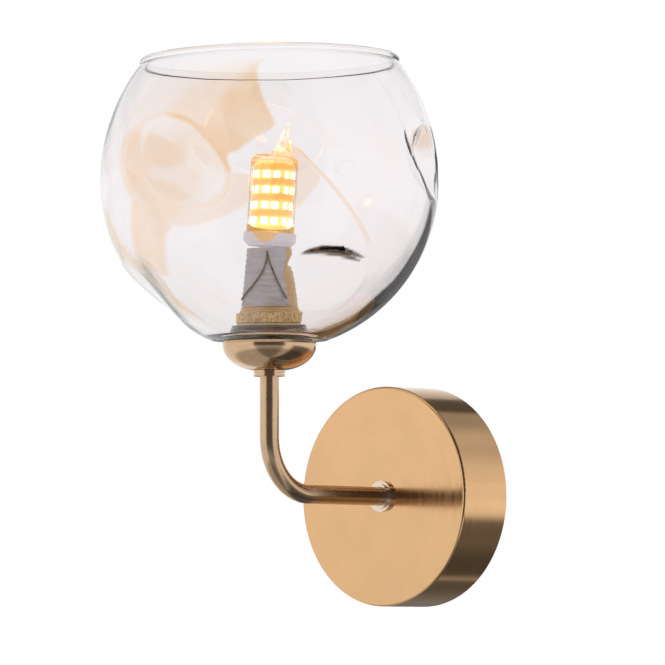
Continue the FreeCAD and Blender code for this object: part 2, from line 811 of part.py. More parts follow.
def make_lampholder_sleeve():
    """A brass sleeve: closed floor, wide seat for the shade, thread, and a ridged taper to its open top."""
    bore = arm_radius + fit_gap
    inner_stem = holder_stem_radius - holder_wall
    ledge = taper_bottom_radius - taper_ridge_depth - holder_wall
    inner_top = taper_top_radius - taper_ridge_depth - holder_wall
    outline = [(bore, holder_bottom), (holder_stem_radius, holder_bottom),
               (holder_stem_radius, seat_top - seat_thickness), (seat_radius, seat_top - seat_thickness),
               (seat_radius, seat_top)]
    outline += ridges(shade_thread_radius, shade_thread_depth, seat_top, seat_top + shade_thread_top,
                      shade_thread_pitch)
    ridged_height = taper_top - shade_thread_top - taper_foot - taper_rim_height
    for k in range(int(ridged_height / taper_ridge_pitch)):
        low = shade_thread_top + taper_foot + k * taper_ridge_pitch
        crest = low + taper_ridge_pitch / 2
        outline.append((taper_radius(low) - taper_ridge_depth, seat_top + low))
        outline.append((taper_radius(crest), seat_top + crest))
    outline += [(taper_top_radius, holder_top - taper_rim_height), (taper_top_radius, holder_top),
                (inner_top, holder_top), (ledge, bridge_bottom), (ledge - bridge_ledge, bridge_bottom),
                (inner_stem, bridge_bottom - ledge_slope_height), (inner_stem, holder_nut_bottom),
                (bore, holder_nut_bottom)]
    return on_stem(turned(outline))


def make_holder_bridge():
    """A steel disc on the sleeve's ledge that carries the ceramic core."""
    radius = taper_bottom_radius - taper_ridge_depth - holder_wall - bridge_side_gap
    disc = Part.makeCylinder(radius, bridge_thickness, point(0, 0, bridge_bottom))
    for side in (-1, 1):
        disc = disc.cut(Part.makeCylinder(bridge_lead_hole_radius, bridge_thickness,
                                          point(side * pin_spacing / 2, 0, bridge_bottom)))
        disc = disc.cut(Part.makeCylinder(core_screw_radius + fit_gap, bridge_thickness,
                                          point(0, side * core_screw_offset, bridge_bottom)))
    return on_stem(disc)


def make_holder_core():
    """The ceramic block with two deep slots for the lamp's pins."""
    core = Part.makeCylinder(core_radius, core_top - core_bottom, point(0, 0, core_bottom))
    core = core.makeChamfer(core_chamfer, [edge for edge in core.Edges if len(edge.Vertexes) == 1])
    slot_floor = core_bottom + core_slot_floor
    for side in (-1, 1):
        x = side * pin_spacing / 2
        core = core.cut(Part.makeBox(2 * core_slot_half_width, 2 * core_slot_half_length, core_top - slot_floor,
                                     point(x - core_slot_half_width, -core_slot_half_length, slot_floor)))
        core = core.cut(Part.makeCylinder(jaw_barrel_radius + fit_gap, core_slot_floor,
                                          point(x, 0, core_bottom)))
        core = core.cut(Part.makeCylinder(core_screw_radius + fit_gap, core_screw_length,
                                          point(0, side * core_screw_offset, core_bottom)))
    return on_stem(core)


def make_contact_jaws():
    """Two spring jaws, each a folded strip open at the top with a crimp barrel under it."""
    jaws = []
    slot_floor = core_bottom + core_slot_floor
    outer = jaw_half_gap + jaw_thickness
    for side in (-1, 1):
        x = side * pin_spacing / 2
        jaw = Part.makeBox(2 * outer, 2 * jaw_half_length, jaw_height,
                           point(x - outer, -jaw_half_length, slot_floor))
        jaw = jaw.cut(Part.makeBox(2 * jaw_half_gap, 2 * jaw_half_length, jaw_height,
                                   point(x - jaw_half_gap, -jaw_half_length, slot_floor + jaw_thickness)))
        barrel = Part.makeCylinder(jaw_barrel_radius, jaw_barrel_height,
                                   point(x, 0, slot_floor - jaw_barrel_height))
        barrel = barrel.cut(Part.makeCylinder(lead_radius + fit_gap, jaw_barrel_height,
                                              point(x, 0, slot_floor - jaw_barrel_height)))
        jaws.append(on_stem(jaw.fuse(barrel)))
    return Part.makeCompound(jaws)


def make_core_screws():
    """Two screws that come up through the bridge into the core."""
    screws = []
    for side in (-1, 1):
        y = side * core_screw_offset
        shank = Part.makeCylinder(core_screw_radius, core_screw_length - core_screw_end_gap + bridge_thickness,
                                  point(0, y, bridge_bottom))
        head = Part.makeCylinder(core_screw_head_radius, core_screw_head_height,
                                 point(0, y, bridge_bottom - core_screw_head_height))
        slot = Part.makeBox(2 * core_screw_head_radius, screw_slot_width, screw_slot_depth,
                            point(-core_screw_head_radius, y - screw_slot_width / 2,
                                  bridge_bottom - core_screw_head_height))
        screws.append(on_stem(shank.fuse(head).cut(slot)))
    return Part.makeCompound(screws)


def on_taper(bearing, height):
    """A point beside the taper's crests where the clip's wire has its centre."""
    radius = taper_radius(height) + clip_wire_radius + clip_clearance
    return bearing_direction(bearing) * radius + point(0, 0, seat_top + height)


def make_core_clip():
    """A bent wire that lies on the taper in an upturned V and keeps the core down."""
    apex = on_taper(clip_bearing, clip_top)
    legs = [Part.makeSphere(clip_wire_radius, apex)]
    for spread, curl in ((-clip_spread_left, clip_curl_left), (clip_spread_right, clip_curl_right)):
        stations = []
        for k in range(clip_stations):
            share = k / (clip_stations - 1)
            stations.append(on_taper(clip_bearing + spread * share ** curl,
                                     clip_top + (clip_bottom - clip_top) * share))
        curve = Part.BSplineCurve()
        curve.interpolate(stations)
        legs.append(pipe(Part.Wire(curve.toShape()), clip_wire_radius))
    return on_stem(legs[0].fuse(legs[1:]))


# Shade

def dent_depth(bearing, height, radius):
    """How far all the dents together push the glass in at a bearing and a height above the seat."""
    total = 0.0
    for middle, middle_height, length, above, below, tilt, depth, upper_edge, lower_edge in dents.values():
        turn = (bearing - middle + 180) % 360 - 180
        along = math.radians(turn) * radius
        rise = height - middle_height
        angle = math.radians(tilt)
        across = (along * math.cos(angle) + rise * math.sin(angle)) / length
        climb = rise * math.cos(angle) - along * math.sin(angle)
        climb /= above if climb > 0 else below
        reach = math.hypot(across, climb)
        if reach < 1:
            upward = 0.5 + 0.5 * climb / reach if reach else 0.5
            total += depth * (1 - reach ** 2) ** (lower_edge + (upper_edge - lower_edge) * upward)
    return total


def globe_latitude(share):
    """The ellipse angle at a share of the way from the floor's edge to the neck."""
    low = -math.asin((globe_centre - gasket_thickness) / globe_radius)
    high = math.asin((globe_neck_height - globe_centre) / globe_upper_radius)
    return low + (high - low) * share


def outer_glass(bearing, share):
    """A point of the globe's outer skin, dents included, about the Z axis with the seat at z = 0."""
    latitude = globe_latitude(share)
    raised = mouth_rise * math.cos(math.radians(bearing - mouth_rise_bearing))
    raised /= math.sin(globe_latitude(1))
    tall = globe_upper_radius + raised if latitude > 0 else globe_radius
    radius = globe_radius * math.cos(latitude)
    height = globe_centre + tall * math.sin(latitude)
    fade = min(1, share / dent_fade_floor, (1 - share) / dent_fade_neck)
    push = dent_depth(bearing, height, max(radius, 1)) * max(0, fade)
    outward = point(math.cos(latitude), 0, math.sin(latitude))
    radius -= push * outward.x
    height -= push * outward.z
    return bearing_direction(bearing) * radius + point(0, 0, height)


def inner_glass(bearing, share):
    """The outer skin's point moved in by the wall, square to the dented surface."""
    step = 0.004
    turn = 0.5
    here = outer_glass(bearing, share)
    along = outer_glass(bearing + turn, share) - outer_glass(bearing - turn, share)
    climb = outer_glass(bearing, min(1, share + step)) - outer_glass(bearing, max(0, share - step))
    normal = along.cross(climb)
    normal.normalize()
    return here - normal * globe_wall


def swell(turn):
    """How far outside a circle the control points of a smooth closed curve stand, turn degrees apart."""
    return 3 / (2 + math.cos(math.radians(turn)))


def glass_section(bearing):
    """The control points of the glass's closed section at one bearing: under the floor, up the
    outside, round the rim, down the inside and round the fitter hole's bead. Each stretch is a list."""
    floor = gasket_thickness
    floor_top = floor + globe_floor
    bead_top = floor_top + fitter_bead_height
    edge = fitter_radius + fitter_bead_width
    hole_edge = fitter_radius + glass_hole_round
    shares = [k / globe_wall_rows for k in range(globe_wall_rows + 1)]
    foot = outer_glass(bearing, 0)
    foot_radius = math.hypot(foot.x, foot.y)
    under = [(fitter_radius, floor + glass_hole_round), (hole_edge, floor), (edge, floor),
             ((fitter_radius + foot_radius) / 2, floor), (foot_radius - glass_foot_round, floor)]
    outside = [outer_glass(bearing, share) for share in shares[:-1]]
    neck = outer_glass(bearing, 1)
    rim_radius = math.hypot(neck.x, neck.y) - rim_neck_inset - rim_setback
    rim_turn = 360 / (rim_points + 1)
    rim = []
    for k in range(rim_points):
        angle = math.radians(rim_turn * (k - rim_first_step))
        reach = swell(rim_turn) * rim_bead_radius
        rim.append((rim_radius + reach * math.cos(angle), neck.z + rim_bead_radius + reach * math.sin(angle)))
    inside = [inner_glass(bearing, share) for share in reversed(shares[1:-1])]
    last_radius = math.hypot(inside[-1].x, inside[-1].y)
    bead = [(last_radius - inner_foot_width, floor_top + bead_foot_round), (edge + fitter_bead_width, floor_top),
            (edge + bead_edge_round / 2, floor_top + bead_foot_round), (edge, floor_top + bead_flank_start),
            (edge, bead_top - bead_edge_round), (edge - bead_edge_round, bead_top),
            (fitter_radius + bead_edge_round, bead_top), (fitter_radius, bead_top - bead_edge_round),
            (fitter_radius, (floor + bead_top) / 2)]
    direction = bearing_direction(bearing)
    flat_under, flat_rim, flat_bead = ([direction * r + point(0, 0, z) for r, z in corners]
                                       for corners in (under, rim, bead))
    return [flat_under, outside, flat_rim, inside, flat_bead]


def make_glass_globe():
    """The whole glass wall as one closed skin, smooth round the globe and round its section."""
    turn = 360 / globe_columns
    sections = [glass_section(k * turn) for k in range(globe_columns)]
    poles = [[point(p.x * swell(turn), p.y * swell(turn), p.z) for stretch in section for p in stretch]
             for section in sections]
    rows = len(poles[0])
    skin = Part.BSplineSurface()
    skin.buildFromPolesMultsKnots(poles, [1] * (globe_columns + 1), [1] * (rows + 1),
                                  list(range(globe_columns + 1)), list(range(rows + 1)), True, True, 3, 3)
    row_ends = [0]
    for stretch in sections[0]:
        row_ends.append(row_ends[-1] + len(stretch))
    column_ends = [globe_columns * k / globe_face_columns for k in range(globe_face_columns + 1)]
    faces = []
    for left, right_end in zip(column_ends, column_ends[1:]):
        for low, high in zip(row_ends, row_ends[1:]):
            patch = skin.copy()
            patch.segment(left, right_end, low, high)
            faces.append(patch.toShape())
    shell = Part.Shell(faces)
    shell.sewShape()
    glass = Part.Solid(shell)
    if glass.Volume < 0:
        glass.reverse()
    glass.translate(point(0, -arm_reach, seat_top))
    return glass


def make_lower_gasket():
    return on_stem(tube(gasket_outer_radius, shade_thread_radius + running_gap, seat_top, glass_bottom))


def make_upper_gasket():
    return on_stem(tube(fitter_radius + fitter_bead_width - upper_gasket_inset, ring_bore_radius,
                        fitter_bead_top, ring_washer_bottom))


# Shade ring

def make_ring_washer():
    return on_stem(tube(ring_washer_radius, ring_bore_radius, ring_washer_bottom, ring_bottom))


def make_shade_ring():
    """A knurled ring with thread rings in its bore."""
    corners = []
    for k in range(2 * shade_ring_knurls):
        radius = shade_ring_radius if k % 2 == 0 else shade_ring_radius - shade_ring_knurl_depth
        angle = math.pi * k / shade_ring_knurls
        corners.append(point(radius * math.cos(angle), radius * math.sin(angle), ring_bottom))
    ring = flat_face(corners).extrude(up * shade_ring_height)
    top = ring_bottom + shade_ring_height
    ring = ring.cut(Part.makeCylinder(ring_bore_radius, shade_ring_height, point(0, 0, ring_bottom)))
    bevel = shade_ring_knurl_depth + shade_ring_bevel
    ring = ring.common(turned([(0, ring_bottom), (shade_ring_radius - bevel, ring_bottom),
                               (shade_ring_radius, ring_bottom + bevel), (shade_ring_radius, top - bevel),
                               (shade_ring_radius - bevel, top), (0, top)]))
    for k in range(int(shade_ring_height / shade_thread_pitch)):
        low = ring_bottom + shade_ring_groove_start + k * shade_thread_pitch
        ring = ring.cut(turned([(0, low), (0, low + shade_ring_groove_width),
                                (ring_bore_radius, low + shade_ring_groove_width),
                                (ring_bore_radius + shade_ring_groove_depth, low + shade_ring_groove_width / 2),
                                (ring_bore_radius, low)]))
    return on_stem(ring)


# Lamp

def leaning(shape):
    """Tips a lamp piece about the middle of its base, then sets it on the stem."""
    lean_axis = up.cross(bearing_direction(lamp_lean_bearing))
    shape.rotate(point(0, 0, lamp_bottom), lean_axis, lamp_lean)
    return on_stem(shape)


def pin_loop(x):
    """One wire loop of the lamp's cap: two legs with a half round at the bottom."""
    half = pin_loop_width / 2 - pin_wire_radius
    top = lamp_bottom + pin_embed
    bottom = lamp_bottom - pin_length + half + pin_wire_radius
    path = Part.Wire([
        Part.LineSegment(point(x, half, top), point(x, half, bottom)).toShape(),
        Part.Arc(point(x, half, bottom), point(x, 0, bottom - half), point(x, -half, bottom)).toShape(),
        Part.LineSegment(point(x, -half, bottom), point(x, -half, top)).toShape()])
    return pipe(path, pin_wire_radius)


def make_lamp_pins():
    return Part.makeCompound([on_stem(pin_loop(side * pin_spacing / 2)) for side in (-1, 1)])


def make_lamp_base():
    """A moulded cup with a chamfered foot and two slots for the pins."""
    top = lamp_bottom + lamp_base_height
    floor_top = lamp_bottom + pin_embed + lamp_base_web
    inner = lamp_base_radius - lamp_base_wall
    base = turned([(0, lamp_bottom), (lamp_base_radius - lamp_base_chamfer, lamp_bottom),
                   (lamp_base_radius, lamp_bottom + lamp_base_chamfer), (lamp_base_radius, top),
                   (inner, top), (inner, floor_top), (0, floor_top)])
    base = leaning(base)
    for side in (-1, 1):
        half_width = pin_wire_radius + running_gap
        half_length = pin_loop_width / 2 + running_gap
        slot_bottom = lamp_bottom - lamp_base_radius * math.sin(math.radians(lamp_lean))
        base = base.cut(Part.makeBox(2 * half_width, 2 * half_length,
                                     lamp_bottom + pin_embed + running_gap - slot_bottom,
                                     point(side * pin_spacing / 2 - half_width, -arm_reach - half_length,
                                           slot_bottom)))
    return base


def make_lamp_cover():
    """A clear tube with a bevelled top and a flame-shaped tip that leans over."""
    bottom = lamp_bottom + lamp_base_height
    top = bottom + cover_length
    shoulder_top = top + shoulder_height
    inner = cover_radius - cover_wall
    plug = inner - fit_gap
    walls = turned([(inner, bottom), (cover_radius, bottom), (cover_radius, top - cover_corner),
                    (cover_radius - cover_corner, top), (shoulder_radius, shoulder_top), (0, shoulder_top),
                    (0, shoulder_top - cover_top_wall),
                    (shoulder_radius - cover_inner_corner, shoulder_top - cover_top_wall),
                    (plug - cover_corner, top - cover_corner), (inner, top - cover_top_wall)])
    lean_right = bearing_direction(lamp_lean_bearing)
    circles = []
    for k in range(flame_sections):
        share = k / (flame_sections - 1)
        width = flame_tip_radius + (flame_radius - flame_tip_radius) * (1 - share) ** flame_taper
        centre = lean_right * (flame_offset + flame_bend * share)
        centre.z = shoulder_top + flame_height * share
        circles.append(Part.Wire(Part.makeCircle(width, centre, up)))
    flame = Part.makeLoft(circles, True, False)
    return leaning(walls.fuse(flame))


def hexagon_face(across, height):
    corner = across / math.sqrt(3)
    first = board_bearing - board_turn + 30
    return flat_face([bearing_direction(first + 60 * k) * corner + point(0, 0, height) for k in range(6)])


def make_lamp_board():
    """The hexagon tube that the light chips sit on, with a closed top."""
    bottom = lamp_bottom + lamp_base_height - board_sink
    board = hexagon_face(board_across, bottom).extrude(up * board_length)
    hollow = hexagon_face(board_across - 2 * board_wall, bottom).extrude(up * (board_length - board_wall))
    return leaning(board.cut(hollow))


def make_lamp_chips():
    """Two columns of light chips on each of the six faces."""
    chips = []
    for face in range(6):
        bearing = board_bearing - board_turn + 60 * face
        for column in (-1, 1):
            for row in range(chip_rows):
                chip = Part.makeBox(chip_width, chip_thickness, chip_height,
                                    point(column * chip_pair_pitch / 2 - chip_width / 2,
                                          -board_across / 2 - chip_thickness, 0))
                chip.rotate(point(0, 0, 0), up, bearing)
                middle = lamp_bottom + lamp_base_height + chip_first_row + row * chip_row_pitch
                chip.translate(point(0, 0, middle - chip_height / 2))
                chips.append(leaning(chip))
    return Part.makeCompound(chips)


def make_lamp_driver():
    """The small circuit block that stands in the lamp's base and reaches up inside the board."""
    floor_top = lamp_bottom + pin_embed + lamp_base_web
    return leaning(Part.makeBox(2 * driver_half_width, 2 * driver_half_width, driver_height,
                                point(-driver_half_width, -driver_half_width, floor_top)))


pieces = {
    "wall_bracket": make_wall_bracket,
    "cable_grommet": make_cable_grommet,
    "earth_screw": make_earth_screw,
    "earth_washer": make_earth_washer,
    "canopy": make_canopy,
    "canopy_weld_nuts": make_weld_nuts,
    "canopy_grub_screws": make_canopy_screws,
    "canopy_ferrule": make_ferrule,
    "arm_tube": make_arm_tube,
    "backing_plate": make_backing_plate,
    "toothed_washer": make_toothed_washer,
    "earth_tag": make_earth_tag,
    "arm_rear_nut": make_rear_nut,
    "terminal_block": make_terminal_block,
    "terminal_clamps": make_terminal_clamps,
    "terminal_screws": make_terminal_screws,
    "block_fixing_screw": make_block_fixing_screw,
    "live_lead": lambda: make_supply_lead(-1),
    "neutral_lead": lambda: make_supply_lead(1),
    "earth_lead": make_earth_lead,
    "arm_collar": make_arm_collar,
    "shade_cup": make_shade_cup,
    "cup_nut": make_cup_nut,
    "lampholder_sleeve": make_lampholder_sleeve,
    "lampholder_nut": make_holder_nut,
    "lampholder_bridge": make_holder_bridge,
    "lampholder_core": make_holder_core,
    "contact_jaws": make_contact_jaws,
    "core_screws": make_core_screws,
    "core_clip": make_core_clip,
    "lower_gasket": make_lower_gasket,
    "glass_globe": make_glass_globe,
    "upper_gasket": make_upper_gasket,
    "ring_washer": make_ring_washer,
    "shade_ring": make_shade_ring,
    "lamp_pins": make_lamp_pins,
    "lamp_base": make_lamp_base,
    "lamp_driver": make_lamp_driver,
    "lamp_board": make_lamp_board,
    "lamp_chips": make_lamp_chips,
    "lamp_cover": make_lamp_cover,
}

for name, make in pieces.items():
    shape = make()
    shape.exportStep(f"parts/{name}.step")
    box = shape.BoundBox
    print(f"{name:20s} solids {len(shape.Solids):2d} valid {shape.isValid()} volume {shape.Volume:10.2f} "
          f"z {box.ZMin:7.2f} to {box.ZMax:7.2f}")
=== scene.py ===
import math

import bmesh
import bpy
import numpy as np
from mathutils import Matrix, Vector


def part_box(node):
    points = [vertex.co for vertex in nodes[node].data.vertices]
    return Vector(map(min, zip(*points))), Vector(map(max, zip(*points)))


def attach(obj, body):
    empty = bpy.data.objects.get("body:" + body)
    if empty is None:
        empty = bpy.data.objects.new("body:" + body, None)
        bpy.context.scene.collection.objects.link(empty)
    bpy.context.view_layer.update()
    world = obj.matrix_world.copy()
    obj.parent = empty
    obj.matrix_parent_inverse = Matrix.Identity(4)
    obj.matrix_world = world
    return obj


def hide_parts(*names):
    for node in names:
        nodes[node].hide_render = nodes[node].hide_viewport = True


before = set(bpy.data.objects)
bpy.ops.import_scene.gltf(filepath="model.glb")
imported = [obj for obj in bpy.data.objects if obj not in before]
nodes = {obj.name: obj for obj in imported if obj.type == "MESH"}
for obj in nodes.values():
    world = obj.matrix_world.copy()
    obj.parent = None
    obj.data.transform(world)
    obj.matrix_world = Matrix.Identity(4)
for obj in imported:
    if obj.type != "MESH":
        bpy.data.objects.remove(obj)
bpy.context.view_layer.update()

# Globe wall sconce. Sizes are in millimetres and are turned into metres where a mesh is made.
# The origin is on the wall behind the canopy, the room lies towards -Y and +Z is up.
# A bearing is a horizontal direction: 0 degrees is -Y, into the room, and 90 degrees is +X.
mm = 0.001

# Places read from the frame
stem_y = sum(corner.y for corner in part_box("arm_collar")) / 2 / mm
seat_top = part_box("shade_cup")[1].z / mm
canopy_face_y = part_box("canopy")[0].y / mm

# Camera of the photograph: a long lens that looks up from a little below the canopy
camera_bearing = 42.9
camera_elevation = -3.2
camera_distance = 2600.0
camera_lens = 309.7
camera_sensor = 36.0
aim_left_of_face = 22.7
aim_above_face = 74.5

# Glass globe
glass_gap = 0.5
globe_radius = 75.5
globe_centre = 71.6
globe_upper_radius = 82.0
globe_neck_height = 123.8
globe_floor = 3.0
fitter_radius = 14.3
fitter_bead_width = 2.9
fitter_bead_height = 3.3
rim_bead_radius = 1.7
rim_neck_inset = 0.9
mouth_rise = 1.2
mouth_rise_bearing = 90.0
globe_columns = 420
globe_rows = 190
inside_rows = 110
inside_top_share = 0.99
inside_bottom_share = 0.02

# Glass wall: even above the middle, and thicker towards the floor, most on one side
globe_wall = 2.1
floor_swell = 0.6
side_swell = 1.1
side_swell_bearing = 133.0
swell_top = 78.0
swell_full = 8.0

# How quickly the dents gain depth above the floor and below the neck, per share of the way up
dent_floor_gain = 8.0
dent_neck_gain = 14.0

# Each dent is bearing and height of its middle, half length, half height above and below the middle,
# tilt and depth, and how gently it begins at its upper and its lower edge, 1 being a crease.
# Heights are above the seat, lengths run along the glass.
dents = {
    "front_bowl": (12.0, 76.5, 27.0, 15.0, 18.5, -36.0, 9.5, 1.35, 1.4),
    "front_halo": (12.0, 74.0, 42.0, 29.0, 30.0, -36.0, 3.0, 1.6, 1.6),
    "side_fold": (116.5, 80.0, 27.0, 14.5, 14.5, -28.0, 5.5, 1.35, 1.35),
    "side_hollow": (119.5, 79.5, 17.5, 17.0, 17.5, 0.0, 4.0, 1.35, 1.35),
    "low_front": (69.5, 27.0, 21.0, 10.0, 19.0, -4.0, 3.6, 1.0, 2.2),
    "low_left": (-41.0, 19.0, 36.0, 17.0, 17.0, 20.0, 4.0, 1.5, 1.8),
    "rear_upper": (226.0, 99.0, 30.0, 14.0, 18.0, 15.0, 7.5, 1.3, 1.6),
    "rear_right": (197.0, 66.0, 32.0, 25.0, 29.0, -35.0, 6.0, 1.4, 1.6),
    "rear_left": (283.0, 62.0, 26.0, 16.0, 20.0, 30.0, 5.5, 1.4, 1.6),
}

# A fine crease runs down the glass beside the lamp, straight in bearing and height
crease_bearing = 52.9
crease_high = 79.8
crease_low = 40.5
crease_fall = 1.289
crease_half_width = 0.7
crease_amber = 0.7
crease_depth = 0.12

# Waves in the glass and its own faint colour
wave_density = 0.022
wave_height = 0.45
glass_ior = 1.48
glass_body = (0.72, 0.62, 0.58)
glass_body_density = 22.0

# Amber lustre, painted on in this order: strength, softness of the edge, and the outline as
# bearings and heights above the seat. A strength of 0 clears what was painted before it.
amber_patches = {
    "rear_veil": (0.28, 8.0, [(240, 98), (262, 104), (285, 96), (292, 76), (280, 60), (262, 58),
                              (248, 72)]),
    "upper_veil": (0.22, 12.0, [(-16, 90), (-12, 104), (2, 113), (20, 116), (36, 115), (40, 100), (24, 90),
                                (8, 94), (-6, 92)]),
    "halo": (0.42, 2.4, [(-18.6, 81.5), (-14.4, 65.6), (-10.3, 60.4), (5.8, 48.4), (16.5, 47.8),
                         (30.6, 52.7), (37, 58), (39.5, 68), (38, 78), (29, 78), (22, 86), (12, 95),
                         (2, 98.5), (-8, 95.5), (-15, 90)]),
    "halo_left": (0.6, 8.0, [(-16, 88), (-9, 90), (-7, 80), (-5, 70), (-12, 66), (-16, 76)]),
    "upper_soft": (0.55, 14.0, [(6, 96), (8, 104), (16, 110), (26, 114), (38, 115), (42, 100),
                                (34, 84), (25, 83), (16, 90)]),
    "upper": (0.9, 8.0, [(22, 95), (27, 104), (32, 112), (40, 118), (46, 112), (47, 100),
                         (48, 90), (42, 82), (36, 76), (29, 74), (24, 80), (19.5, 88)]),
    "upper_end": (0.0, 1.4, [(39.8, 118), (40.2, 106), (43.5, 96.1), (45.2, 90.8), (42, 87), (38.3, 84.4),
                              (33.2, 79.5), (29.5, 77.6), (30, 70), (50, 70), (60, 90), (56, 118)]),
    # The bowl is painted nearly clear: clearer glass, and a painted highlight inside the front dent.
    "bowl": (0.14, 2.0, [(-7.2, 91.6), (2.3, 95.8), (13.9, 91.5), (23.6, 80.4), (28.6, 70.4), (25, 61),
                         (17.4, 56.5), (8, 58), (2.1, 63.4), (-4, 75)]),
    # A painted refraction line in amber along the upper edge of the front bowl.
    "bowl_rim_refraction": (1.0, 0.9, [(4, 96.2), (13.9, 92), (23.6, 81), (28.8, 70.6), (30.4, 71), (25.4, 82.4),
                            (15, 93.8), (4.5, 97.5)]),
    "bowl_amber": (0.55, 6.0, [(-6, 88), (2, 86), (9, 84), (8, 77), (2, 73.5), (-4, 76)]),
    "bowl_lip": (0.5, 3.0, [(1, 68), (8, 64), (14, 60), (10, 58), (3, 61), (-1, 66)]),
    "lower_left": (0.62, 2.0, [(-10.3, 60.4), (-3, 55.5), (5.8, 48.4), (3, 44), (0.5, 38), (-3, 30),
                               (-4.4, 27.1), (-12, 29.5), (-19.5, 33.4), (-17, 42), (-14.6, 49.3),
                               (-12, 56)]),
    "low_streak": (0.8, 1.4, [(-20, 33), (-17, 25), (-13.5, 17), (-7, 10.5), (-4, 10), (-9, 18),
                              (-13, 26), (-16, 32.5)]),
    "left_edge": (0.7, 2.5, [(-50, 56), (-44, 42), (-36, 32), (-28, 24), (-20, 14), (-14, 10), (-12, 16),
                             (-16, 26), (-22, 36), (-29, 46), (-36, 58)]),
    "beside_lamp": (0.5, 1.0, [(47, 82), (53, 80), (57.5, 73.5), (60.5, 67), (57, 60.5), (53.6, 55),
                               (47, 54), (44, 66)]),
    "fold": (0.6, 1.6, [(104, 86), (107, 91), (113, 94.3), (120, 95.2), (127, 93.5), (129, 87),
                        (121, 85.6), (113, 85.3), (110, 84.9), (106, 82.1)]),
}

# Painted dark refraction: a dark streak painted under the lip of the low dent, written as the patches are
dark_refraction_patches = {
    "low_lip": (1.0, 0.5, [(55.4, 35.0), (59.2, 37.4), (65.3, 38.8), (71.7, 38.3), (76.5, 37.0),
                           (83.4, 33.9), (77.2, 34.6), (72.4, 35.4), (65.7, 36.0), (60.0, 35.7)]),
}

# Lampholder: brass, with a painted grey reflection on the side towards the room, broken in lines along the
# ridges below the lamp.
# Heights are above the seat.
grey_reflection_bearing = 21.0
grey_reflection_half_width = 60.0
grey_reflection_edge = 4.0
grey_reflection_raggedness = 40.0
thread_top = 15.0
thread_fade = 1.5
ridge_gap_bearing = 43.0
ridge_gap_half_width = 13.0
ridge_gap_edge = 4.0
ridge_gap_top = 28.0
ridge_gap_fade = 3.0
ridge_gap_pitch = 2.6

# Lamp
lamp_bottom = 109.5
lamp_base_height = 6.0
lamp_lean = 3.5
lamp_lean_bearing = 115.0
cover_radius = 10.7
cover_wall = 0.9
cover_length = 33.5
cover_corner = 0.8
cover_top_wall = 1.2
shoulder_height = 1.8
shoulder_radius = 8.6
flame_height = 14.5
flame_radius = 5.2
flame_tip_radius = 0.9
flame_taper = 1.2
flame_offset = 2.7
flame_bend = 2.5
flame_twist = 150.0
flame_lobes = 3
flame_lobe_depth = 0.22
flame_lobe_start = 0.15
board_faces = 6
board_across = 15.8
board_bearing = 43.3
board_turn = 5.5
chip_rows = 4
chip_row_pitch = 7.0
chip_first_row = 5.2
chip_size = 4.0
chip_thickness = 0.7
chip_pair_pitch = 4.3

# Light in the lamp's base: pointed patches, turned against the board, and the height of their points
glow_patches = 3
glow_turn = 9.0
glow_point = 0.8
glow_climb = 1.2

# Colours, linear
canopy_brass = (0.755, 0.465, 0.237)
ferrule_brass = (0.8, 0.66, 0.54)
arm_brass = (0.66, 0.46, 0.29)
cup_brass = (0.68, 0.46, 0.28)
glass_tint = (0.975, 0.955, 0.962)
glass_amber = (0.93, 0.69, 0.46)

# Dark zones of the room that metal sees, in degrees: middle bearing, half width that is full and half
# width where it ends, elevation where it begins and where it is full, and the share of light left
every_bearing = (0.0, 180.0, 190.0)
metal_zones = {
    "ceiling": (*every_bearing, 37.0, 44.0, 0.5),
    "deep": (*every_bearing, -26.0, -44.0, 0.5),
    "low_room": (144.0, 34.0, 46.0, -9.0, -19.0, 0.16),
    "streak": (199.0, 7.0, 12.0, 26.0, 33.0, 0.16),
    "skimmed": (207.0, 17.0, 22.0, 1.0, -2.0, 0.2),
    "front": (43.0, 36.0, 43.0, -22.0, -14.0, 0.1),
    "below_front": (43.0, 26.0, 46.0, -14.0, -22.0, 0.42),
}

# Above the horizon the room fades to this level, between these elevations
horizon_top = 8.0
upper_room = 36.0
upper_room_level = 0.62

# Dark zones that light inside the glass wall sees, written the same way, and the light left in them
wall_zones = {
    "lower_right": (206.0, 20.0, 28.0, 4.0, 0.0),
    "below": (205.0, 28.0, 36.0, -26.0, -34.0),
}
wall_zone_level = 0.16

# A reflection that crosses more glass faces than this is of metal inside the globe, which looks paler
faces_of_wall = 2.5
paler_inside = 0.75
diffuse_level = 0.8

# Soft lights: place in metres, width in metres and power in watts
lights = {
    "key_light": ((-1.1, -1.5, 1.1), 1.0, 9.0),
    "fill_light": ((1.4, -1.0, 0.5), 1.0, 4.0),
}

# Floor, well below the light
floor_height = -600.0
floor_reach = 6000.0
floor_white = 0.85
floor_glow = 0.3


def linear(red, green, blue):
    """A colour written as 0 to 255 display values, as the shader wants it."""
    shares = [value / 255 for value in (red, green, blue)]
    return tuple(s / 12.92 if s <= 0.04045 else ((s + 0.055) / 1.055) ** 2.4 for s in shares) + (1.0,)


def opaque(colour):
    """A colour with full alpha."""
    return (*colour[:3], 1.0)


def bearing_direction(bearing):
    """The level unit vector of a bearing."""
    angle = math.radians(bearing)
    return Vector((math.sin(angle), -math.cos(angle), 0))


# Shader nodes

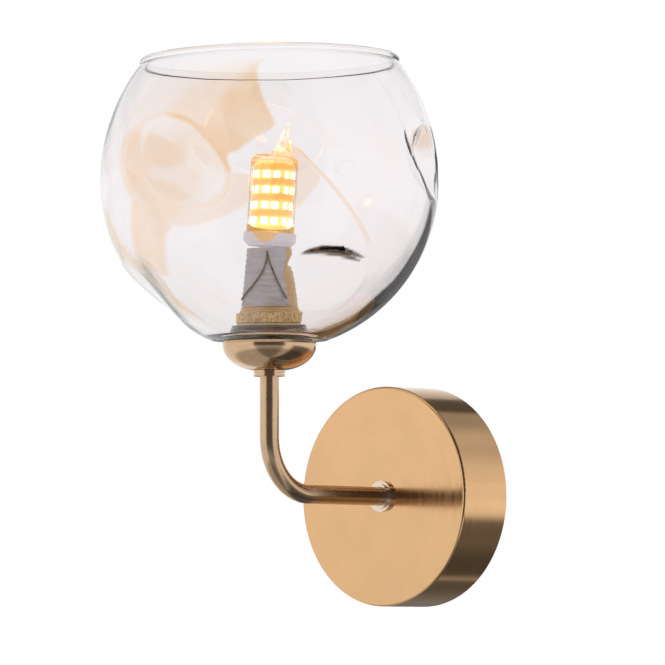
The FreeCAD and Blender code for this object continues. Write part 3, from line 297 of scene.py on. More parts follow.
class Graph:
    """Adds shader nodes to the node tree of a material or the world."""

    def __init__(self, tree):
        self.tree = tree
        self.output = None
        tree.nodes.clear()

    def add(self, kind, inputs=None, **settings):
        node = self.tree.nodes.new("ShaderNode" + kind)
        for key, value in settings.items():
            setattr(node, key, value)
        for key, value in (inputs or {}).items():
            self.put(node.inputs[key], value)
        return node

    def put(self, socket, value):
        if isinstance(value, bpy.types.NodeSocket):
            self.tree.links.new(value, socket)
        else:
            socket.default_value = value

    def math(self, operation, *values):
        return self.add("Math", dict(enumerate(values)), operation=operation).outputs[0]

    def smooth(self, value, low, high, start=0.0, end=1.0):
        """start below low, end above high, and a smooth step between."""
        inputs = {0: value, 1: low, 2: high, 3: start, 4: end}
        return self.add("MapRange", inputs, interpolation_type="SMOOTHSTEP").outputs[0]

    def mix(self, share, first, second):
        node = self.add("Mix", {0: share, 6: first, 7: second}, data_type="RGBA")
        return node.outputs[2]

    def noise(self, vector, scale, detail=2.0, roughness=0.5, distortion=0.0):
        inputs = {"Vector": vector, "Scale": scale, "Detail": detail, "Roughness": roughness,
                  "Distortion": distortion}
        return self.add("TexNoise", inputs).outputs[0]

    def vector(self, x, y, z):
        return self.add("CombineXYZ", {0: x, 1: y, 2: z}).outputs[0]

    def place(self):
        """The object's own coordinates in millimetres."""
        coords = self.add("TexCoord").outputs["Object"]
        return self.add("VectorMath", {0: coords, "Scale": 1 / mm}, operation="SCALE").outputs[0]

    def split(self, vector):
        """The x, y and z of a vector."""
        return self.add("SeparateXYZ", {0: vector}).outputs

    def length(self, across, along):
        """The length of a flat vector."""
        squares = [self.math("MULTIPLY", side, side) for side in (across, along)]
        return self.math("SQRT", self.math("ADD", *squares))

    def bump(self, height, distance, strength=1.0):
        inputs = {"Height": height, "Distance": distance * mm, "Strength": strength}
        return self.add("Bump", inputs).outputs[0]


def new_material(name):
    """A material with a Principled shader and nothing linked to it yet."""
    material = bpy.data.materials.new(name)
    material.use_nodes = True
    graph = Graph(material.node_tree)
    graph.output = graph.add("OutputMaterial")
    shader = graph.add("BsdfPrincipled")
    graph.put(graph.output.inputs["Surface"], shader.outputs[0])
    return material, graph, shader


# Metals

def turned_brass(name, colour, axis, roughness, grain):
    """Satin brass with fine lathe lines round an axis, and faint cloudy patches."""
    material, graph, shader = new_material(name)
    scaled = graph.place()
    x, y, z = graph.split(scaled)
    if axis == "Y":
        side, along = z, y
    else:
        side, along = graph.math("SUBTRACT", y, stem_y), z
    across = graph.math("ARCTAN2", side, x)
    radius = graph.length(x, side)
    line_density = 4.0
    band_density = 0.5
    lathe = graph.vector(graph.math("MULTIPLY", radius, line_density), graph.math("MULTIPLY", across, 1.5),
                         graph.math("MULTIPLY", along, line_density))
    lines = graph.noise(lathe, 1.0, 3.0, 0.65)
    bands = graph.vector(graph.math("MULTIPLY", radius, band_density), across,
                         graph.math("MULTIPLY", along, band_density))
    broad = graph.noise(bands, 1.0, 2.0)
    clouds = graph.noise(scaled, 0.06, 3.0)
    darker = tuple(0.97 * c for c in colour)
    lighter = tuple(min(1.0, 1.02 * c) for c in colour)
    shade = graph.math("ADD", graph.math("MULTIPLY", lines, 0.4), graph.math("MULTIPLY", clouds, 0.6))
    tone = graph.mix(graph.smooth(shade, 0.35, 0.65), opaque(darker), opaque(lighter))
    graph.put(shader.inputs["Base Color"], tone)
    shader.inputs["Metallic"].default_value = 1.0
    uneven = graph.math("ADD", graph.math("MULTIPLY", lines, 0.5), graph.math("MULTIPLY", broad, 0.5))
    gloss = graph.smooth(uneven, 0.3, 0.7, roughness - 0.04, roughness + 0.05)
    graph.put(shader.inputs["Roughness"], gloss)
    graph.put(shader.inputs["Normal"], graph.bump(lines, grain))
    return material


def arm_metal():
    """Polished brass drawn along the tube, with tiny specks."""
    material, graph, shader = new_material("arm_brass")
    scaled = graph.place()
    specks = graph.noise(scaled, 1.6, 3.0, 0.7)
    clouds = graph.noise(scaled, 0.12, 2.0)
    darker = tuple(0.9 * c for c in arm_brass)
    tone = graph.mix(graph.smooth(clouds, 0.3, 0.7), opaque(darker), opaque(arm_brass))
    graph.put(shader.inputs["Base Color"], tone)
    shader.inputs["Metallic"].default_value = 1.0
    graph.put(shader.inputs["Roughness"], graph.smooth(specks, 0.35, 0.7, 0.2, 0.28))
    graph.put(shader.inputs["Normal"], graph.bump(specks, 0.006))
    return material


def holder_metal():
    """The lampholder: brass, with a painted grey reflection on the side towards the room that breaks in
    lines along the ridges below the lamp.
    """
    material, graph, shader = new_material("holder_metal")
    scaled = graph.place()
    x, y, z = graph.split(scaled)
    bearing = graph.math("DEGREES", graph.math("ARCTAN2", x, graph.math("SUBTRACT", stem_y, y)))
    height = graph.math("SUBTRACT", z, seat_top)
    # Painted reflection: a grey patch with a ragged edge on the side towards the room, above the thread.
    ragged = graph.noise(scaled, 0.16, 3.0, 0.6)
    off_middle = graph.math("ABSOLUTE", graph.math("SUBTRACT", bearing, grey_reflection_bearing))
    wander = graph.math("MULTIPLY", graph.math("SUBTRACT", ragged, 0.5), grey_reflection_raggedness)
    front = graph.smooth(graph.math("ADD", off_middle, wander),
                         grey_reflection_half_width, grey_reflection_half_width + grey_reflection_edge, 1.0, 0.0)
    above_thread = graph.smooth(height, thread_top, thread_top + thread_fade)
    grey_reflection = graph.math("MULTIPLY", front, above_thread)
    # The painted grey reflection breaks in lines along the ridges below the lamp, where the brass shows.
    off_ridge_gaps = graph.math("ABSOLUTE", graph.math("SUBTRACT", bearing, ridge_gap_bearing))
    ridge_gaps = graph.smooth(off_ridge_gaps, ridge_gap_half_width, ridge_gap_half_width + ridge_gap_edge, 1.0, 0.0)
    ridge_gaps = graph.math("MULTIPLY", ridge_gaps, graph.smooth(height, ridge_gap_top, ridge_gap_top + ridge_gap_fade, 1.0, 0.0))
    lines = graph.math("SINE", graph.math("MULTIPLY", z, 2 * math.pi / ridge_gap_pitch))
    ridge_gaps = graph.math("MULTIPLY", ridge_gaps, graph.smooth(lines, 0.3, 0.9, 0.0, 0.55))
    grey_reflection = graph.math("MULTIPLY", grey_reflection, graph.math("SUBTRACT", 1.0, ridge_gaps))
    fine = graph.noise(scaled, 1.2, 3.0, 0.6)
    cloudy = graph.noise(scaled, 0.25, 2.0)
    grey = graph.mix(cloudy, linear(202, 196, 201), linear(228, 223, 227))
    gold = graph.mix(fine, linear(160, 124, 78), linear(214, 180, 132))
    graph.put(shader.inputs["Base Color"], graph.mix(grey_reflection, gold, grey))
    brass_roughness, grey_reflection_roughness, grey_reflection_metal = 0.26, 0.6, 0.55
    metal = graph.math("MULTIPLY", grey_reflection, 1.0 - grey_reflection_metal)
    graph.put(shader.inputs["Metallic"], graph.math("SUBTRACT", 1.0, metal))
    rough = graph.math("MULTIPLY", grey_reflection, grey_reflection_roughness - brass_roughness)
    graph.put(shader.inputs["Roughness"], graph.math("ADD", rough, brass_roughness))
    graph.put(shader.inputs["Normal"], graph.bump(fine, 0.02))
    return material


def plain_metal(name, dark, light, roughness, scale=0.8, grain=0.01):
    """A small turned or stamped metal piece with a worn, slightly uneven surface."""
    material, graph, shader = new_material(name)
    scaled = graph.place()
    wear = graph.noise(scaled, scale, 4.0, 0.6)
    graph.put(shader.inputs["Base Color"], graph.mix(graph.smooth(wear, 0.3, 0.7), dark, light))
    shader.inputs["Metallic"].default_value = 1.0
    graph.put(shader.inputs["Roughness"], graph.smooth(wear, 0.3, 0.75, roughness, roughness + 0.12))
    graph.put(shader.inputs["Normal"], graph.bump(wear, grain))
    return material


# Plastics, rubber and ceramic

def moulded(name, dark, light, roughness, scale=0.6, grain=0.02, subsurface=0.0):
    """A moulded or fired piece: soft mottling and a fine skin."""
    material, graph, shader = new_material(name)
    scaled = graph.place()
    mottle = graph.noise(scaled, scale, 3.0, 0.55)
    skin = graph.noise(scaled, scale * 6.0, 2.0)
    graph.put(shader.inputs["Base Color"], graph.mix(graph.smooth(mottle, 0.3, 0.7), dark, light))
    graph.put(shader.inputs["Roughness"], graph.smooth(skin, 0.3, 0.7, roughness, roughness + 0.15))
    graph.put(shader.inputs["Normal"], graph.bump(skin, grain))
    shader.inputs["Subsurface Weight"].default_value = subsurface
    shader.inputs["Subsurface Radius"].default_value = (1.0, 0.8, 0.6)
    shader.inputs["Subsurface Scale"].default_value = 1.5 * mm
    return material


def lamp_base_plastic():
    """Pale grey plastic with the chips' light painted into it: pointed patches of painted glow, and a faint
    painted glow all over.
    """
    material, graph, shader = new_material("lamp_base_plastic")
    scaled = graph.place()
    x, y, z = graph.split(scaled)
    bearing = graph.math("ARCTAN2", x, graph.math("SUBTRACT", stem_y, y))
    turned = graph.math("SUBTRACT", bearing, math.radians(board_bearing - glow_turn))
    cone = graph.math("COSINE", graph.math("MULTIPLY", turned, glow_patches))
    climb = graph.math("SUBTRACT", z, lamp_bottom + glow_point)
    climb = graph.math("MULTIPLY", climb, glow_climb / (lamp_base_height - glow_point))
    # Painted glow: the chips' light is painted into the base colour in pointed orange patches.
    glow = graph.smooth(graph.math("ADD", cone, climb), 1.0, 1.3)
    mottle = graph.noise(scaled, 0.5, 3.0)
    pale = graph.mix(mottle, linear(222, 214, 219), linear(240, 233, 237))
    graph.put(shader.inputs["Base Color"], graph.mix(glow, pale, linear(236, 200, 145)))
    shader.inputs["Roughness"].default_value = 0.38
    graph.put(shader.inputs["Normal"], graph.bump(graph.noise(scaled, 3.0), 0.01))
    # Painted glow: the whole base gives off a faint pale light, orange in the pointed patches, though it is
    # no lamp.
    lit = graph.mix(glow, linear(206, 198, 205), linear(255, 196, 110))
    graph.put(shader.inputs["Emission Color"], lit)
    shader.inputs["Emission Strength"].default_value = 0.3
    return material


# Light

def chip_light():
    """The chips' yellow-white phosphor, hottest in the middle of each chip."""
    material, graph, shader = new_material("lamp_chip_light")
    scaled = graph.place()
    grain = graph.noise(scaled, 2.0, 2.0)
    graph.put(shader.inputs["Base Color"], graph.mix(grain, linear(255, 214, 120), linear(255, 232, 160)))
    shader.inputs["Roughness"].default_value = 0.5
    shader.inputs["Emission Color"].default_value = (1.0, 0.7, 0.36, 1.0)
    shader.inputs["Emission Strength"].default_value = 5.0
    return material


def board_painted_glow():
    """The chips' board with the chips' light painted on: a painted glow, yellow beside the rows of chips
    and deeper amber between them.
    """
    material, graph, shader = new_material("lamp_board_amber")
    scaled = graph.place()
    z = graph.split(scaled)[2]
    mottle = graph.noise(scaled, 0.35, 3.0, 0.6)
    rows = graph.math("SUBTRACT", z, lamp_bottom + lamp_base_height + chip_first_row)
    wave = graph.math("COSINE", graph.math("MULTIPLY", rows, 2 * math.pi / chip_row_pitch))
    lit = graph.math("ADD", wave, graph.math("MULTIPLY", graph.math("SUBTRACT", mottle, 0.5), 1.2))
    lit = graph.smooth(lit, -1.0, 0.6)
    graph.put(shader.inputs["Base Color"], graph.mix(lit, linear(238, 170, 90), linear(255, 215, 140)))
    shader.inputs["Roughness"].default_value = 0.45
    # Painted glow: the board gives off light of its own in the same rows, though it is no lamp.
    graph.put(shader.inputs["Emission Color"], graph.mix(lit, linear(246, 184, 100), linear(255, 224, 146)))
    shader.inputs["Emission Strength"].default_value = 0.85
    return material


# Glass

def globe_glass():
    """Blown glass: nearly clear, with amber lustre in patches, a painted refraction line and a painted dark
    streak, a fine crease and faint waves.
    """
    material, graph, shader = new_material("globe_glass")
    scaled = graph.place()
    x, y, z = graph.split(scaled)
    bearing = graph.math("DEGREES", graph.math("ARCTAN2", x, graph.math("SUBTRACT", stem_y, y)))
    height = graph.math("SUBTRACT", z, seat_top)
    fallen = graph.math("MULTIPLY", graph.math("SUBTRACT", bearing, crease_bearing), crease_fall)
    off = graph.math("ADD", graph.math("SUBTRACT", height, crease_high), fallen)
    beside = graph.smooth(graph.math("ABSOLUTE", off), 0.3, 2 * crease_half_width, 1.0, 0.0)
    upper_end = graph.smooth(height, crease_high - 1.0, crease_high + 3.0, 1.0, 0.0)
    lower_end = graph.smooth(height, crease_low - 2.0, crease_low + 2.0)
    ahead = graph.smooth(bearing, crease_bearing - 4.0, crease_bearing)
    crease = graph.math("MULTIPLY", graph.math("MULTIPLY", beside, ahead),
                        graph.math("MULTIPLY", upper_end, lower_end))
    lustre = graph.add("Attribute", attribute_name="amber").outputs["Fac"]
    cloud = graph.smooth(graph.noise(scaled, 0.08, 3.0, 0.6), 0.3, 0.7, 0.8, 1.08)
    amber = graph.math("MAXIMUM", graph.math("MULTIPLY", lustre, cloud),
                       graph.math("MULTIPLY", crease, crease_amber))
    tint = graph.mix(amber, opaque(glass_tint), opaque(glass_amber))
    # Painted dark refraction: the dark streak is painted into the glass's colour under the lip of the low
    # dent.
    dark = graph.add("Attribute", attribute_name="dark").outputs["Fac"]
    graph.put(shader.inputs["Base Color"], graph.mix(dark, tint, linear(66, 50, 38)))
    shader.inputs["Transmission Weight"].default_value = 1.0
    shader.inputs["Roughness"].default_value = 0.0
    shader.inputs["IOR"].default_value = glass_ior
    waves = graph.math("MULTIPLY", graph.noise(scaled, wave_density, 2.0, 0.4), wave_height)
    waves = graph.math("SUBTRACT", waves, graph.math("MULTIPLY", crease, crease_depth))
    graph.put(shader.inputs["Normal"], graph.bump(waves, 1.0))
    absorb = graph.add("VolumeAbsorption", {"Color": opaque(glass_body), "Density": glass_body_density})
    graph.put(graph.output.inputs["Volume"], absorb.outputs[0])
    return material


def lamp_glass():
    """The lamp's cover, clear, with the chips' light painted on: a warm tint, a painted amber glow at its
    top and its foot, and painted glints in strands through its flame."""
    material, graph, shader = new_material("lamp_clear")
    scaled = graph.place()
    x, y, z = graph.split(scaled)
    drawn = graph.vector(graph.math("MULTIPLY", x, 0.8), graph.math("MULTIPLY", y, 0.8),
                         graph.math("MULTIPLY", z, 0.1))
    lines = graph.noise(drawn, 1.0, 2.0)
    top = lamp_bottom + lamp_base_height + cover_length
    foot = graph.smooth(z, top - cover_length + 3.0, top - cover_length + 5.0, 1.0, 0.0)
    flame_foot = top + shoulder_height
    capped = graph.math("MULTIPLY", graph.smooth(z, top - 4.5, top - 2.0),
                        graph.smooth(z, flame_foot - 0.2, flame_foot + 0.6, 1.0, 0.0))
    in_flame = graph.smooth(z, flame_foot - 0.5, flame_foot + 2.0)
    # The chips' light painted into the colour: warm all over, amber at the top.
    warm = graph.mix(lines, (0.99, 0.93, 0.83, 1.0), (1.0, 0.96, 0.9, 1.0))
    warm = graph.mix(capped, warm, (1.0, 0.86, 0.66, 1.0))
    warm = graph.mix(in_flame, warm, (1.0, 0.95, 0.86, 1.0))
    graph.put(shader.inputs["Base Color"], warm)
    shader.inputs["Transmission Weight"].default_value = 1.0
    shader.inputs["Roughness"].default_value = 0.02
    shader.inputs["IOR"].default_value = 1.45
    graph.put(shader.inputs["Normal"], graph.bump(lines, 0.1))
    # Painted light: glints in strands through the flame, and a painted glow at the top and the foot of the
    # cover.
    stretched = graph.vector(x, y, graph.math("MULTIPLY", z, 0.2))
    strands = graph.smooth(graph.noise(stretched, 0.7, 2.0, 0.6), 0.5, 0.62)
    glow = graph.math("MULTIPLY", in_flame, graph.math("MULTIPLY", strands, 0.4))
    edges = graph.math("ADD", graph.math("MULTIPLY", capped, 0.12), graph.math("MULTIPLY", foot, 0.16))
    glow = graph.math("ADD", graph.math("ADD", glow, 0.03), edges)
    graph.put(shader.inputs["Emission Strength"], glow)
    glow_colour = graph.mix(in_flame, linear(255, 190, 100), linear(255, 226, 170))
    graph.put(shader.inputs["Emission Color"], glow_colour)
    return material


def gasket_silicone():
    material, graph, shader = new_material("clear_silicone")
    scaled = graph.place()
    mottle = graph.noise(scaled, 0.8, 2.0)
    graph.put(shader.inputs["Base Color"], graph.mix(mottle, linear(205, 202, 204), linear(235, 232, 234)))
    shader.inputs["Transmission Weight"].default_value = 0.7
    shader.inputs["Roughness"].default_value = 0.4
    return material


# Meshes

def mesh_object(name, points, faces, material, smooth=True):
    """A mesh piece from points in millimetres."""
    mesh = bpy.data.meshes.new(name)
    mesh.from_pydata([tuple(p) for p in np.asarray(points) * mm], [], faces)
    mesh.update()
    mesh.materials.append(material)
    for polygon in mesh.polygons:
        polygon.use_smooth = smooth
    piece = bpy.data.objects.new(name, mesh)
    bpy.context.scene.collection.objects.link(piece)
    return piece


def face_outward(piece):
    """Turns every face of a closed mesh outwards."""
    made = bmesh.new()
    made.from_mesh(piece.data)
    bmesh.ops.recalc_face_normals(made, faces=made.faces)
    made.to_mesh(piece.data)
    made.free()


def dent_depth(bearing, height, radius):
    """How far all the dents together push the glass in at bearings and heights above the seat."""
    total = np.zeros_like(height)
    for middle, middle_height, length, above, below, tilt, depth, upper_edge, lower_edge in dents.values():
        turn = (bearing - middle + 180) % 360 - 180
        along = np.radians(turn) * radius
        rise = height - middle_height
        cosine, sine = math.cos(math.radians(tilt)), math.sin(math.radians(tilt))
        across = (along * cosine + rise * sine) / length
        climb = rise * cosine - along * sine
        climb = climb / np.where(climb > 0, above, below)
        reach = np.clip(1 - across ** 2 - climb ** 2, 0, 1)
        upward = 0.5 + 0.5 * climb / np.maximum(np.hypot(across, climb), 1e-6)
        total += depth * reach ** (lower_edge + (upper_edge - lower_edge) * upward)
    return total


def outer_glass(bearing, share):
    """Points of the globe's outer skin, about the Z axis with the seat at z = 0."""
    low = -math.asin((globe_centre - glass_gap) / globe_radius)
    high = math.asin((globe_neck_height - globe_centre) / globe_upper_radius)
    latitude = low + (high - low) * share
    raised = mouth_rise * np.cos(np.radians(bearing - mouth_rise_bearing)) / math.sin(high)
    tall = np.where(latitude > 0, globe_upper_radius + raised, globe_radius)
    radius = globe_radius * np.cos(latitude)
    height = globe_centre + tall * np.sin(latitude)
    fade = np.clip(np.minimum(dent_floor_gain * share, dent_neck_gain * (1 - share)), 0, 1)
    push = dent_depth(bearing, height, np.maximum(radius, 1)) * fade
    radius = radius - push * np.cos(latitude)
    height = height - push * np.sin(latitude)
    angle = np.radians(bearing)
    return np.stack([radius * np.sin(angle), -radius * np.cos(angle), height], axis=-1)


def eased(value, low, high):
    """0 below low, 1 above high, and a smooth step between. low may be the greater."""
    share = np.clip((value - low) / (high - low), 0, 1)
    return share * share * (3 - 2 * share)


def wall_at(bearing, height):
    """Thickness of the glass at bearings and heights above the seat."""
    side = np.clip(np.cos(np.radians(bearing - side_swell_bearing)), 0, 1) ** 2
    return globe_wall + (floor_swell + side_swell * side) * eased(height, swell_top, swell_full)


def inner_glass(bearing, share):
    """The outer skin's points moved in by the wall, square to the dented surface."""
    step = 0.004
    turn = 0.5
    here = outer_glass(bearing, share)
    along = outer_glass(bearing + turn, share) - outer_glass(bearing - turn, share)
    climb = outer_glass(bearing, np.minimum(1, share + step))
    climb -= outer_glass(bearing, np.maximum(0, share - step))
    normal = np.cross(along, climb)
    normal /= np.linalg.norm(normal, axis=-1, keepdims=True)
    return here - normal * wall_at(bearing, here[..., 2])[..., None]


def rounded_outline(outline, steps=6):
    """A closed smooth line through the points of an outline."""
    points = np.array(outline, dtype=float)
    before, after, next_after = (np.roll(points, shift, axis=0) for shift in (1, -1, -2))
    line = []
    for share in np.arange(steps) / steps:
        line.append(0.5 * (2 * points + (after - before) * share
                           + (2 * before - 5 * points + 4 * after - next_after) * share ** 2
                           + (3 * points - before - 3 * after + next_after) * share ** 3))
    return np.stack(line, axis=1).reshape(-1, 2)


def inside_share(across, climb, line, softness):
    """1 inside a closed line, 0 outside, with a soft edge."""
    nearest = np.full(across.shape, np.inf)
    inside = np.zeros(across.shape, dtype=bool)
    for (x0, y0), (x1, y1) in zip(line, np.roll(line, -1, axis=0)):
        dx, dy = x1 - x0, y1 - y0
        share = np.clip(((across - x0) * dx + (climb - y0) * dy) / (dx * dx + dy * dy + 1e-9), 0, 1)
        nearest = np.minimum(nearest, np.hypot(across - x0 - share * dx, climb - y0 - share * dy))
        if y0 != y1:
            crosses = ((y0 > climb) != (y1 > climb)) & (across < (climb - y0) * dx / dy + x0)
            inside ^= crosses
    return eased(np.where(inside, nearest, -nearest), -softness / 2, softness / 2)


def painted(patches, bearing, height):
    """How strongly patches colour the glass at bearings and heights above the seat."""
    paint = np.zeros(bearing.shape)
    per_degree = math.radians(1) * globe_radius
    for strength, softness, outline in patches.values():
        middle = sum(turn for turn, level in outline) / len(outline)
        line = rounded_outline([((turn - middle) * per_degree, level) for turn, level in outline])
        across = ((bearing - middle + 180) % 360 - 180) * per_degree
        low, high = line.min(axis=0) - softness, line.max(axis=0) + softness
        near = (across > low[0]) & (across < high[0]) & (height > low[1]) & (height < high[1])
        share = inside_share(across[near], height[near], line, softness)
        paint[near] = paint[near] * (1 - share) + strength * share
    return paint


def arc_points(centre_radius, centre_height, radius, first, last, count):
    """(radius, height) points on an arc, angles from the horizontal in degrees."""
    angles = np.radians(np.linspace(first, last, count))
    return [(centre_radius + radius * math.cos(a), centre_height + radius * math.sin(a)) for a in angles]


def ring_of(bearings, radii, heights):
    """Rows of points at (radius, height) pairs for every bearing."""
    angle = np.radians(bearings)[:, None]
    radii = np.broadcast_to(radii, (len(bearings), np.shape(radii)[-1]))
    heights = np.broadcast_to(heights, radii.shape)
    return np.stack([radii * np.sin(angle), -radii * np.cos(angle), heights], axis=-1)


def make_globe(material):
    """The glass wall as one closed skin: fitter bead, floor, outside, rolled rim and inside."""
    bearings = np.arange(globe_columns) * 360 / globe_columns
    columns, rows = np.meshgrid(bearings, np.linspace(0, 1, globe_rows), indexing="ij")
    outside = outer_glass(columns, rows)
    inside_shares = np.linspace(inside_top_share, inside_bottom_share, inside_rows)
    columns, rows = np.meshgrid(bearings, inside_shares, indexing="ij")
    inside = inner_glass(columns, rows)
    floor_top = glass_gap + globe_floor
    bead_top = floor_top + fitter_bead_height
    flat_radius = math.hypot(*outside[0, 0, :2])
    under_round = 0.6
    under = arc_points(fitter_radius + under_round, glass_gap + under_round, under_round, 180, 270, 4)
    under += [(fitter_radius + (flat_radius - fitter_radius) * k / 6, glass_gap) for k in (1, 2, 3, 4, 5)]
    neck = outside[:, -1]
    neck_radius = np.hypot(neck[:, 0], neck[:, 1]) - rim_neck_inset
    bead_angles = np.radians(np.linspace(-50, 232, 26))
    bead_radii = (neck_radius - globe_wall / 2 + 0.1)[:, None] + rim_bead_radius * np.cos(bead_angles)
    bead_heights = (neck[:, 2] + rim_bead_radius)[:, None] + rim_bead_radius * np.sin(bead_angles)
    bead = ring_of(bearings, bead_radii, bead_heights)
    edge = fitter_radius + fitter_bead_width
    round_off = 0.9
    foot_curve = [(4.0, 0.05), (2.0, 0.1), (0.8, 0.45)]
    bead_profile = [(edge + out, floor_top + rise) for out, rise in foot_curve]
    bead_profile += arc_points(edge - round_off, bead_top - round_off, round_off, 0, 90, 6)
    bead_profile += arc_points(fitter_radius + round_off, bead_top - round_off, round_off, 90, 180, 6)
    bead_profile += [(fitter_radius, (floor_top + glass_gap) / 2)]
    parts = [
        ring_of(bearings, [r for r, z in under], [z for r, z in under]),
        outside,
        bead,
        inside,
        ring_of(bearings, [r for r, z in bead_profile], [z for r, z in bead_profile]),
    ]
    skin = np.concatenate(parts, axis=1)
    section = skin.shape[1]
    points = skin.reshape(-1, 3)
    faces = []
    for column in range(globe_columns):
        beside = (column + 1) % globe_columns
        for row in range(section):
            above = (row + 1) % section
            faces.append((column * section + row, beside * section + row,
                          beside * section + above, column * section + above))
    globe = mesh_object("blown_globe", points + np.array([0, stem_y, seat_top]), faces, material)
    face_outward(globe)
    bearing = np.degrees(np.arctan2(points[:, 0], -points[:, 1]))
    for name, patches in (("amber", amber_patches), ("dark", dark_refraction_patches)):
        paint = globe.data.attributes.new(name, "FLOAT", "POINT")
        paint.data.foreach_set("value", painted(patches, bearing, points[:, 2]).astype(np.float32))
    return globe


def lean(points):
    """Tips points of the lamp about the middle of its base, as the CAD lamp leans."""
    axis = Vector((0, 0, 1)).cross(bearing_direction(lamp_lean_bearing))
    turn = Matrix.Rotation(math.radians(lamp_lean), 3, axis)
    pivot = Vector((0, 0, lamp_bottom))
    return [tuple(turn @ (Vector(p) - pivot) + pivot + Vector((0, stem_y, 0))) for p in points]


def make_lamp_cover(material):
    """A clear tube with a bevelled top and a twisted, three-lobed flame tip that leans over."""
    bottom = lamp_bottom + lamp_base_height
    top = bottom + cover_length
    shoulder_top = top + shoulder_height
    inner = cover_radius - cover_wall
    ceiling = shoulder_top - cover_top_wall
    straight_top = top - cover_top_wall
    columns = 96
    flame_rows = 48
    wall_rows = 8
    inside = [(0.01, ceiling), (shoulder_radius - cover_wall, ceiling)]
    inside.append((inner - cover_corner, top - cover_corner))
    inside += [(inner, height) for height in np.linspace(straight_top, bottom, wall_rows + 1)]
    outside = [(cover_radius, height) for height in np.linspace(bottom, top - cover_corner, wall_rows + 1)]
    outside += arc_points(cover_radius - cover_corner, top - cover_corner, cover_corner, 20, 60, 3)
    outside += [(shoulder_radius + 0.3, shoulder_top - 0.25), (shoulder_radius, shoulder_top)]
    angles = [2 * math.pi * k / columns for k in range(columns)]
    rings = [[(radius * math.sin(a), -radius * math.cos(a), height) for a in angles]
             for radius, height in inside + outside]
    toward = bearing_direction(lamp_lean_bearing)
    for row in range(flame_rows + 1):
        share = row / flame_rows
        width = flame_tip_radius + (flame_radius - flame_tip_radius) * (1 - share) ** flame_taper
        swelling = min(1.0, flame_lobe_start + (1 - flame_lobe_start) * share)
        lobes = flame_lobe_depth * math.sin(math.pi * swelling) ** 0.7
        twist = math.radians(flame_twist) * share
        centre = toward * (flame_offset + flame_bend * share)
        ring = []
        for a in angles:
            reach = width * (1 - lobes * (1 - math.cos(flame_lobes * a - twist)) / 2)
            ring.append((centre.x + reach * math.sin(a), centre.y - reach * math.cos(a),
                         shoulder_top + flame_height * share))
        rings.append(ring)
    points = lean([p for ring in rings for p in ring])
    faces = []
    for row in range(len(rings) - 1):
        for k in range(columns):
            beside = (k + 1) % columns
            faces.append((row * columns + k, row * columns + beside,
                          (row + 1) * columns + beside, (row + 1) * columns + k))
    faces.append(tuple(range(columns)))
    faces.append(tuple((len(rings) - 1) * columns + k for k in range(columns)))
    cover = mesh_object("flame_cover", points, faces, material)
    face_outward(cover)
    return cover


def make_chips(material, rim_material):
    """Light chips on every face of the board: a frame with the board's painted glow round a domed phosphor.
    Each ring of a chip is its width and rise as shares, and how square it is."""
    points = []
    faces = []
    owners = []
    sides = 24
    rings = [(1.0, 0.0, 4.0), (1.0, 0.75, 4.0), (0.93, 0.93, 4.5), (0.80, 1.0, 5.0), (0.74, 0.9, 5.0),
             (0.55, 0.97, 3.5), (0.25, 1.0, 2.5)]
    frame_levels = 3
    for face in range(board_faces):
        bearing = board_bearing - board_turn + 360 / board_faces * face
        outward = bearing_direction(bearing)
        sideways = Vector((0, 0, 1)).cross(outward)
        for column in (-1, 1):
            for row in range(chip_rows):
                middle = outward * (board_across / 2) + sideways * (column * chip_pair_pitch / 2)
                middle.z = lamp_bottom + lamp_base_height + chip_first_row + row * chip_row_pitch
                start = len(points)
                for width, rise, squareness in rings:
                    for k in range(sides):
                        angle = 2 * math.pi * k / sides
                        c, s = math.cos(angle), math.sin(angle)
                        u = math.copysign(abs(c) ** (2 / squareness), c) * width * chip_size / 2
                        v = math.copysign(abs(s) ** (2 / squareness), s) * width * chip_size / 2
                        place = middle + sideways * u + Vector((0, 0, v))
                        points.append(tuple(place + outward * (rise * chip_thickness)))
                for level in range(len(rings) - 1):
                    for k in range(sides):
                        beside = (k + 1) % sides
                        low = start + level * sides
                        faces.append((low + k, low + beside, low + sides + beside, low + sides + k))
                        owners.append(0 if level < frame_levels else 1)
                faces.append(tuple(start + (len(rings) - 1) * sides + k for k in range(sides)))
                owners.append(1)
                faces.append(tuple(start + k for k in reversed(range(sides))))
                owners.append(0)
    chips = mesh_object("light_chips", lean(points), faces, rim_material)
    chips.data.materials.append(material)
    for polygon, owner in zip(chips.data.polygons, owners):
        polygon.material_index = owner
    face_outward(chips)
    return chips


# Materials on the carried-over pieces

def dress(material, *names):
    """Gives a material to CAD pieces by name."""
    for name in names:
        piece = nodes[name]
        if not piece.material_slots:
            piece.data.materials.append(material)
        for place in piece.material_slots:
            place.material = material


